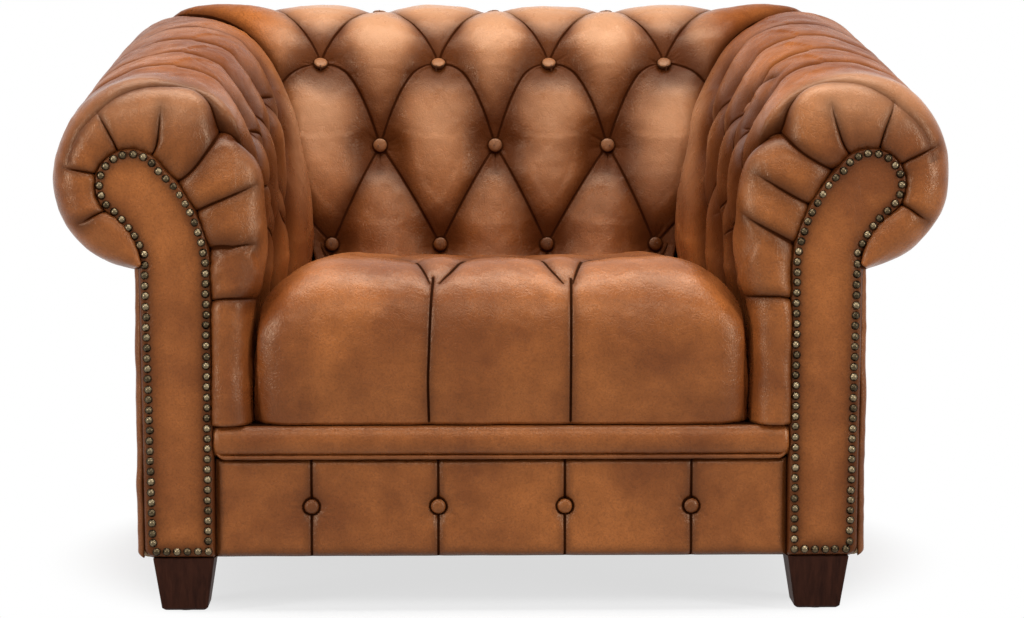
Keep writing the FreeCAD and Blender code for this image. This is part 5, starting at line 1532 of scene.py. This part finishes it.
# Apron.
APRON_HALF = 0.3733
APRON_Y = -0.4465
APRON_TOP = 0.2046
APRON_PLEATS = (-0.2475, -0.0825, 0.0825, 0.2475)
APRON_BUTTON_Z = 0.140
APRON_DEPTHS = (0.15, 0.16, 0.22, 0.16, 0.15)
APRON_BOX = (-APRON_HALF, APRON_HALF, BASE_Z, APRON_TOP)
apron_plane = flat_surface(*APRON_BOX, lambda u, v: (u, np.full_like(u, APRON_Y), v))
apron_outline = box_outline(*APRON_BOX, 3 * MM)
apron_folds = [ring_fold(apron_outline, 0.32, 0.0045)]
for x in APRON_PLEATS:
    pleat = crease((x, BASE_Z + 2 * MM), (x, APRON_TOP - 2 * MM), APRON_DEPTHS, 1.0, 0.7 * MM)
    apron_folds.append(dict(pleat, width=0.005, mark=6.0))
apron_buttons = [(x, APRON_BUTTON_Z) for x in APRON_PLEATS]
apron = skin("front apron", apron_plane, apron_outline, box_inside(*APRON_BOX), apron_folds, apron_buttons,
             seed=61, puff=0.026, power=1.3, thickness=-0.004, button_pull=0.0075, wave=0.5 * MM,
             fold_shade=0.35, fold_shade_reach=0.010)
place_on(apron, ["front_apron"])
button_mesh("apron buttons made", button_spots(apron_plane, apron_buttons, -0.0060), 0.0100, 0.0062,
            "apron_buttons")


def swept(name, stations, finish, replaces, attributes=None):
    """A closed strip through closed sections, capped at both ends."""
    rings = [np.asarray(ring, float) for ring in stations]
    count = len(rings[0])
    faces = []
    for index in range(len(rings) - 1):
        for step in range(count):
            a = index * count + step
            b = index * count + (step + 1) % count
            faces.append((a, b, b + count, a + count))
    faces.append(tuple(range(count))[::-1])
    faces.append(tuple(range((len(rings) - 1) * count, len(rings) * count)))
    made = make_mesh(name, np.concatenate(rings), faces, finish, attributes)
    face_outwards(made)
    return place_on(made, replaces)


# Band: a soft roll of leather between the seat and the apron.
BAND_LOW, BAND_HIGH = 0.2072, 0.2480
BAND_Y = -0.4575
BAND_EDGE_Y = -0.4400
BAND_BACK_Y = -0.4220
DENT_WIDTH, DENT_DEPTH = 2.2 * MM, 0.7 * MM


def band_stations():
    """Sections of the roll, with a slow swell along it and short dents across it."""
    random = np.random.default_rng(71)
    middle, half = (BAND_LOW + BAND_HIGH) / 2, (BAND_HIGH - BAND_LOW) / 2
    angle = np.linspace(-math.pi / 2, math.pi / 2, 26)
    dents = [(random.uniform(-0.37, 0.37), random.uniform(0.4, 1.0), random.uniform(-0.6, 0.6))
             for _ in range(26)]
    stations = []
    for x in np.linspace(-APRON_HALF, APRON_HALF, 300):
        end = min((APRON_HALF - abs(x)) / 0.006, 1.0)
        swell = 1 + 0.025 * math.sin(x * 31 + 1.0) + 0.018 * math.sin(x * 73)
        depth = (BAND_EDGE_Y - BAND_Y) * swell * (0.82 + 0.18 * end)
        y = BAND_EDGE_Y - depth * np.cos(angle) ** 0.75
        z = middle + half * np.sin(angle) * (1 - 0.02 * (1 - end))
        for spot, size, lean in dents:
            across = (x - spot - lean * 0.012 * np.sin(angle)) / DENT_WIDTH
            y = y + DENT_DEPTH * size * np.exp(-across ** 2) * np.cos(angle)
        front = np.stack([np.full_like(y, x), y, z], -1)
        rear = np.array([[x, BAND_BACK_Y, BAND_HIGH], [x, BAND_BACK_Y, BAND_LOW]])
        stations.append(np.concatenate([front, rear]))
    return stations


band_rings = band_stations()
# Painted shade: dark lines along the roll's top and bottom edges, and darker leather near them.
band_z = np.concatenate([ring[:, 2] for ring in band_rings])
edge_gap = np.minimum(band_z - BAND_LOW, BAND_HIGH - band_z)
band = swept("front band", band_rings, tan_leather, ["front_band"],
             leather_marks(edge_gap * 1.5, np.exp(-(edge_gap / (1.2 * MM)) ** 2)))

# Welt: the piping under the band, turned up where it meets the facings.
WELT_Y, WELT_Z, WELT_RADIUS = -0.4500, 0.2058, 0.0029


def welt_stations():
    """Round sections of the piping, which rises at both ends."""
    stations = []
    angle = np.linspace(0, 2 * math.pi, 17)[:-1]
    for x in np.linspace(-APRON_HALF, APRON_HALF, 240):
        rise = 0.010 * max(0, 1 - (APRON_HALF - abs(x)) / 0.014) ** 2
        radius = WELT_RADIUS * (1 + 0.05 * math.sin(x * 190))
        stations.append(np.stack([np.full_like(angle, x), WELT_Y + radius * np.cos(angle) + 0.3 * rise,
                                  WELT_Z + rise + radius * np.sin(angle)], -1))
    return stations


# The piping is painted a little darker all over, as shade beside a fold.
swept("front welt", welt_stations(), tan_leather, ["front_welt"], leather_marks(0.004, 0.0))


# Facings.
def facing_outline(inset, step, bottom=BASE_Z, taper=FACING_TAPER):
    """The facing's edge, drawn in by the inset, as evenly spaced points."""
    left, right = FACING_IN_X + inset, FACING_OUT_X - inset
    radius = SCROLL_RADIUS - inset
    center = np.array([SCROLL_X, SCROLL_Z])
    corner = max(FACING_CORNER - inset, FACING_CORNER / 4)
    base = bottom + inset

    def on_scroll(angle):
        return center + radius * np.array([math.cos(angle), math.sin(angle)])

    neck, brow = np.array([left, SCROLL_NECK_Z]), on_scroll(SCROLL_BROW)
    chin, throat = on_scroll(SCROLL_CHIN), np.array([right, SCROLL_THROAT_Z])
    foot = right - taper
    hollow = (neck + brow) / 2 + np.array([-SCROLL_SWELL, SCROLL_SWELL])
    under = (chin + throat) / 2 + np.array([-SCROLL_SWELL, SCROLL_SWELL]) / 3
    share = np.linspace(0, 1, 60)

    def arc(a, b, c):
        n = len(share)
        return arc_through(np.tile(a, (n, 1)), np.tile(b, (n, 1)), np.tile(c, (n, 1)), share)

    around = [on_scroll(SCROLL_BROW + (SCROLL_CHIN - SCROLL_BROW) * t) for t in share]
    turn = [np.array([foot - corner + corner * math.cos(t), base + corner - corner * math.sin(t)])
            for t in np.linspace(0, math.pi / 2, 12)]
    line = np.concatenate([
        [[left, base], neck], arc(neck, hollow, brow)[1:], np.array(around)[1:], arc(chin, under, throat)[1:],
        np.array(turn), [[left, base]],
    ])
    keep = np.concatenate([[True], np.hypot(*np.diff(line, axis=0).T) > 1e-7])
    line = line[keep]
    at = np.concatenate([[0], np.cumsum(np.hypot(*np.diff(line, axis=0).T))])
    count = int(round(at[-1] / step))
    t = np.linspace(0, at[-1], count + 1)[:-1]
    return np.stack([np.interp(t, at, line[:, 0]), np.interp(t, at, line[:, 1])], -1)


def polygon_inside(outline):
    """A test of which places lie in a closed outline, a margin away from it."""
    ends = np.roll(outline, -1, axis=0)
    along = ends - outline
    (ax, ay), (bx, by) = outline.T, ends.T
    rise = np.where(by == ay, 1e-12, by - ay)

    def inside(places, margin):
        x, y = places[:, 0][:, None], places[:, 1][:, None]
        crosses = ((ay > y) != (by > y)) & (x < (bx - ax) * (y - ay) / rise + ax)
        within = crosses.sum(1) % 2 == 1
        if margin <= 0:
            return within
        t = np.clip(((places[:, None] - outline[None]) * along[None]).sum(-1) / (along ** 2).sum(1), 0, 1)
        gap = places[:, None] - (outline[None] + t[..., None] * along[None])
        return within & (np.sqrt((gap ** 2).sum(-1)).min(1) >= margin)
    return inside


NAIL_INSET = 0.0095
NAIL_TAPER = 0.0067
NAIL_PITCH = 0.0134
NAIL_LIFT = 0.5 * MM
# A nail's shape as radius and height from under its rim to near its tip, as shares of its own.
NAIL_PROFILE = [(1.16, -0.10), (1.20, 0.04), (1.06, 0.10), (0.96, 0.22), (0.78, 0.56), (0.54, 0.83),
                (0.28, 0.97)]
# Painted shade: the first rings, the rim that spreads over the leather, get a tone below the brass ramp, near
# black, as the shade round each head.
NAIL_RIM_RINGS, NAIL_RIM_SHADE = 3, -0.6
NAIL_RADIUS, NAIL_HEIGHT, NAIL_SEGMENTS = 4.4 * MM, 3.2 * MM, 20
NAIL_STRAY, NAIL_SHOW = 0.3 * MM, 0.2 * MM
facing_edge = facing_outline(0.0, 2.5 * MM)
nail_line = facing_outline(NAIL_INSET, NAIL_PITCH, BASE_Z + NAIL_LIFT, NAIL_TAPER)
nail_path = facing_outline(NAIL_INSET, 3 * MM, BASE_Z + NAIL_LIFT, NAIL_TAPER)


def facing_folds():
    """The turned edge, and the shallow trough that the nails press in."""
    return [ring_fold(facing_edge, 0.45, 0.0028), dict(ring_fold(nail_path, 0.07, 0.006), edge=False)]


def facing_lift(places):
    """The panel is a little fuller towards its middle."""
    middle = (FACING_IN_X + FACING_OUT_X) / 2
    across = np.clip(1 - np.abs(places[:, 0] - middle) / 0.042, 0, 1)
    return 0.0022 * across ** 0.6 * np.clip((places[:, 1] - BASE_Z) / 0.03, 0, 1)


facing_plane = flat_surface(0.36, 0.54, 0.06, 0.62, lambda u, v: (u, np.full_like(u, FACING_FRONT_Y), v))


def nail_mesh(name, spots, mirror, seed):
    """Domed nails with a rolled rim and a short shank, each a little off its place and its aim."""
    random = np.random.default_rng(seed)
    verts, faces, tones, count = [], [], [], NAIL_SEGMENTS
    for x, z in spots:
        x, z = x + random.normal(0, NAIL_STRAY), z + random.normal(0, NAIL_STRAY)
        tilt = np.array([random.normal(0, 0.06), 0.0, random.normal(0, 0.06)])
        aim, side, other = tilted_axes(np.array([0, -1.0, 0]), tilt, [0, 0, 1.0])
        point = np.array([x, FACING_FRONT_Y - NAIL_SHOW, z])
        base = len(verts)
        for r, h in NAIL_PROFILE:
            for step in range(count):
                angle = 2 * math.pi * step / count
                around = side * math.cos(angle) + other * math.sin(angle)
                verts.append(point + NAIL_RADIUS * r * around + aim * NAIL_HEIGHT * h)
        tip = len(verts)
        verts += [point + aim * NAIL_HEIGHT, point - aim * NAIL_HEIGHT * 0.5]
        for step in range(count):
            following = (step + 1) % count
            for ring in range(len(NAIL_PROFILE) - 1):
                a, b = base + ring * count + step, base + ring * count + following
                faces.append((a, b, b + count, a + count))
            faces.append((tip - count + step, tip - count + following, tip))
            faces.append((base + following, base + step, tip + 1))
        # Painted shade on the rim rings; the rest of the nail gets its own tone.
        rim = NAIL_RIM_RINGS * count
        tones += [NAIL_RIM_SHADE] * rim + [random.uniform(0.25, 1.0)] * (tip + 2 - base - rim)
    verts = np.array(verts) * (MIRROR if mirror else 1)
    made = make_mesh(name, verts, faces, nail_brass, {"nail_tone": tones})
    face_outwards(made)
    return made


for side, mirror, seed in (("left", True, 81), ("right", False, 91)):
    made = skin("facing " + side, facing_plane, facing_edge, polygon_inside(facing_edge), facing_folds(), [],
                mirror=mirror, seed=seed, puff=0.026, power=1.4, step=4 * MM, thickness=-0.0135,
                wave=0.35 * MM, lift=facing_lift, fold_shade=0.85, fold_shade_reach=0.014)
    place_on(made, ["arm_facing_" + side])
    nails = nail_mesh("dome nails " + side, nail_line, mirror, seed + 3)
    place_on(nails, ["nails_" + side])


# Outside panels: leather pulled over board, a little full, with turned edges.
def panel(name, corners, node_name, axis, outward, seed, soft=1.5 * MM):
    """A padded flat panel between two corners, facing along the given axis."""
    across, up = [k for k in range(3) if k != axis]
    sides = (corners[0][across], corners[1][across], corners[0][up], corners[1][up])
    face = corners[1][axis] if outward > 0 else corners[0][axis]
    thick = corners[1][axis] - corners[0][axis]

    def place(u, v):
        out = {axis: np.full_like(u, face), across: u, up: v}
        return tuple(out[k] for k in range(3))

    def lift(places):
        u, v = places.T
        gap = np.min([u - sides[0], sides[1] - u, v - sides[2], sides[3] - v], axis=0)
        return soft * np.clip(gap / 0.05, 0, 1)

    plane = flat_surface(*sides, place)
    if plane.normals[0, 0, axis] * outward < 0:
        plane.normals = -plane.normals
    outline = box_outline(*sides, 5 * MM)
    edge = ring_fold(outline, min(thick / 0.03, 0.9) * 0.6, 3 * MM)
    made = skin(name, plane, outline, box_inside(*sides), [edge], [], seed=seed, puff=0.03, power=1.3,
                step=8 * MM, thickness=thick - 0.03, wave=0.8 * MM, lift=lift)
    return place_on(made, [node_name])


# The arm panels reach round the front boards, over their front edge and their inner side.
PANEL_FRONT, PANEL_RETURN = 4.5 * MM, 7 * MM
for side, sign, seed in (("left", -1, 101), ("right", 1, 111)):
    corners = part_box("outside_arm_" + side)
    corners[0].y -= PANEL_FRONT
    corners[0 if sign > 0 else 1].x -= sign * PANEL_RETURN
    panel("outside arm " + side, corners, "outside_arm_" + side, 0, sign, seed, 3 * MM)
panel("outside back panel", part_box("outside_back"), "outside_back", 1, 1, 121)

# Legs: square, tapered, with eased edges and a chamfered foot.
LEG_TOP, LEG_FOOT, LEG_ROUND = 0.080, 0.059, 2.8 * MM
# How far the sides are drawn in: at heights above the floor, and at shares of the leg's height.
LEG_CHAMFER = ((0.0, 3.5 * MM), (1.2 * MM, 1.8 * MM), (3.2 * MM, 0.0))
LEG_SHARES = ((0.25, 0.0), (0.5, 0.0), (0.75, 0.0), (0.985, 0.0), (1.0, 1.0 * MM))


def leg(name, low_corner, high_corner):
    """A leg between two corners, with flat sides and eased edges."""
    middle = (low_corner + high_corner) / 2
    bottom, rise = low_corner.z, high_corner.z - low_corner.z
    levels = [(bottom + height, ease) for height, ease in LEG_CHAMFER]
    levels += [(bottom + rise * share, ease) for share, ease in LEG_SHARES]
    stations = []
    for z, ease in levels:
        reach = (LEG_FOOT + (LEG_TOP - LEG_FOOT) * (z - bottom) / rise) / 2 - ease - LEG_ROUND
        ring = []
        for cx, cy, first in ((1, 1, 0), (-1, 1, 90), (-1, -1, 180), (1, -1, 270)):
            for step in range(5):
                angle = math.radians(first + 90 * step / 4)
                ring.append((middle.x + cx * reach + LEG_ROUND * math.cos(angle),
                             middle.y + cy * reach + LEG_ROUND * math.sin(angle), z))
        stations.append(ring)
    made = swept(name, stations, leg_wood, [])
    made.data.polygons.foreach_set("use_smooth", [False] * len(made.data.polygons))
    return made


for key in ("front_left", "front_right", "rear_left", "rear_right"):
    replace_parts(leg("leg " + key.replace("_", " "), *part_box("leg_" + key)), "leg_" + key)

# The pieces kept from the frame get their own finishes.
CARRIED = {
    "leg_glides": glide, "dust_cover": under_cloth, "burlap_deck": jute, "back_webbing": jute,
    "arm_webbing_left": jute, "arm_webbing_right": jute, "back_tuft_twine": twine,
    "hanger_bolts": steel, "tee_nuts": steel, "block_screws": steel, "seat_springs": steel,
    "spring_clips": steel, "tie_wires": steel, "arm_foam_core_left": foam, "arm_foam_core_right": foam,
    "back_foam_core": foam, "seat_foam_core": foam,
}
for made in list(bpy.data.objects):
    if made.type == "MESH" and "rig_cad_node" in made and not made.hide_render:
        finish = CARRIED.get(made.name, frame_timber)
        made.data.materials.clear()
        made.data.materials.append(finish)


# Stage, lights and camera.

FLOOR_SEEN = (0.93, 0.93, 0.93)
FLOOR_UNSEEN = (0.35, 0.35, 0.35)
FLOOR_SIZE, FLOOR_MIDDLE_Y = 60, 10
# The white begins and ends at these distances from the chair's middle, with these shares of white.
FLOOR_FADE = (0.50, 0.66, 0.69, 1.0)


def seen_ray(tree):
    """1 for rays from the camera, in mirrors and through glass; the white surround shows to these."""
    rays = node(tree, "ShaderNodeLightPath")
    mirrored = math_node(tree, "MAXIMUM", rays.outputs["Is Camera Ray"], rays.outputs["Is Glossy Ray"])
    return math_node(tree, "MAXIMUM", mirrored, rays.outputs["Is Transmission Ray"])


def floor_piece():
    """A pale floor that keeps the chair's shadow and turns white away from it."""
    bpy.ops.mesh.primitive_plane_add(size=FLOOR_SIZE, location=(0, FLOOR_MIDDLE_Y, 0))
    floor = bpy.context.object
    floor.name = "floor"
    made, tree, shader, place = material("pale floor")
    shift = node(tree, "ShaderNodeVectorMath", operation="ADD")
    shift.inputs[1].default_value = (0, FLOOR_MIDDLE_Y, 0)
    distance = node(tree, "ShaderNodeVectorMath", operation="LENGTH")
    tree.links.new(place, shift.inputs[0])
    tree.links.new(shift.outputs["Vector"], distance.inputs[0])
    shader.inputs["Roughness"].default_value = 0.9
    shader.inputs["Specular IOR Level"].default_value = 0.0
    white = node(tree, "ShaderNodeEmission", Color=(1, 1, 1, 1), Strength=1.0)
    seen = seen_ray(tree)
    tree.links.new(ramp(tree, seen, [(0.0, FLOOR_UNSEEN), (1.0, FLOOR_SEEN)]), shader.inputs["Base Color"])
    far = span(tree, distance.outputs["Value"], *FLOOR_FADE)
    blend = node(tree, "ShaderNodeMixShader")
    tree.links.new(times(tree, far, seen), blend.inputs[0])
    tree.links.new(shader.outputs[0], blend.inputs[1])
    tree.links.new(white.outputs[0], blend.inputs[2])
    tree.links.new(blend.outputs[0], tree.nodes["Material Output"].inputs["Surface"])
    floor.data.materials.append(made)


floor_piece()


def turn_to(made, place, aim):
    """Points a light or the camera at the aim."""
    made.rotation_euler = (Vector(aim) - Vector(place)).to_track_quat("-Z", "Y").to_euler()


def area_light(name, place, aim, size_x, size_y, power):
    """A soft rectangular light in the studio, its power in watts."""
    data = bpy.data.lights.new(name, "AREA")
    data.shape = "RECTANGLE"
    data.size, data.size_y, data.energy = size_x, size_y, power
    made = bpy.data.objects.new(name, data)
    bpy.context.scene.collection.objects.link(made)
    made.location = place
    turn_to(made, place, aim)


area_light("top", (0.0, -0.45, 2.6), (0, -0.25, 0.4), size_x=2.6, size_y=1.3, power=70)
area_light("front", (0.0, -3.0, 2.3), (0, -0.2, 0.4), size_x=2.4, size_y=0.8, power=24)
for name, sign, power in (("right side", 1, 30), ("left side", -1, 29)):
    area_light(name, (2.2 * sign, -1.7, 1.1), (0, -0.35, 0.5), size_x=0.4, size_y=1.6, power=power)

WORLD_UNSEEN = 0.08
world = bpy.data.worlds.new("studio")
bpy.context.scene.world = world
world.use_nodes = True
background = world.node_tree.nodes["Background"]
background.inputs["Color"].default_value = (1, 1, 1, 1)
strength = span(world.node_tree, seen_ray(world.node_tree), 0.0, 1.0, WORLD_UNSEEN, 1.0)
world.node_tree.links.new(strength, background.inputs["Strength"])

camera_data = bpy.data.cameras.new("camera")
camera = bpy.data.objects.new("camera", camera_data)
bpy.context.scene.collection.objects.link(camera)
camera.location = CAMERA_PLACE
turn_to(camera, CAMERA_PLACE, CAMERA_AIM)
camera_data.sensor_width = 36
camera_data.lens = CAMERA_LENS
camera_data.clip_end = 200
bpy.context.scene.camera = camera
bpy.context.scene.view_settings.view_transform = "Standard"
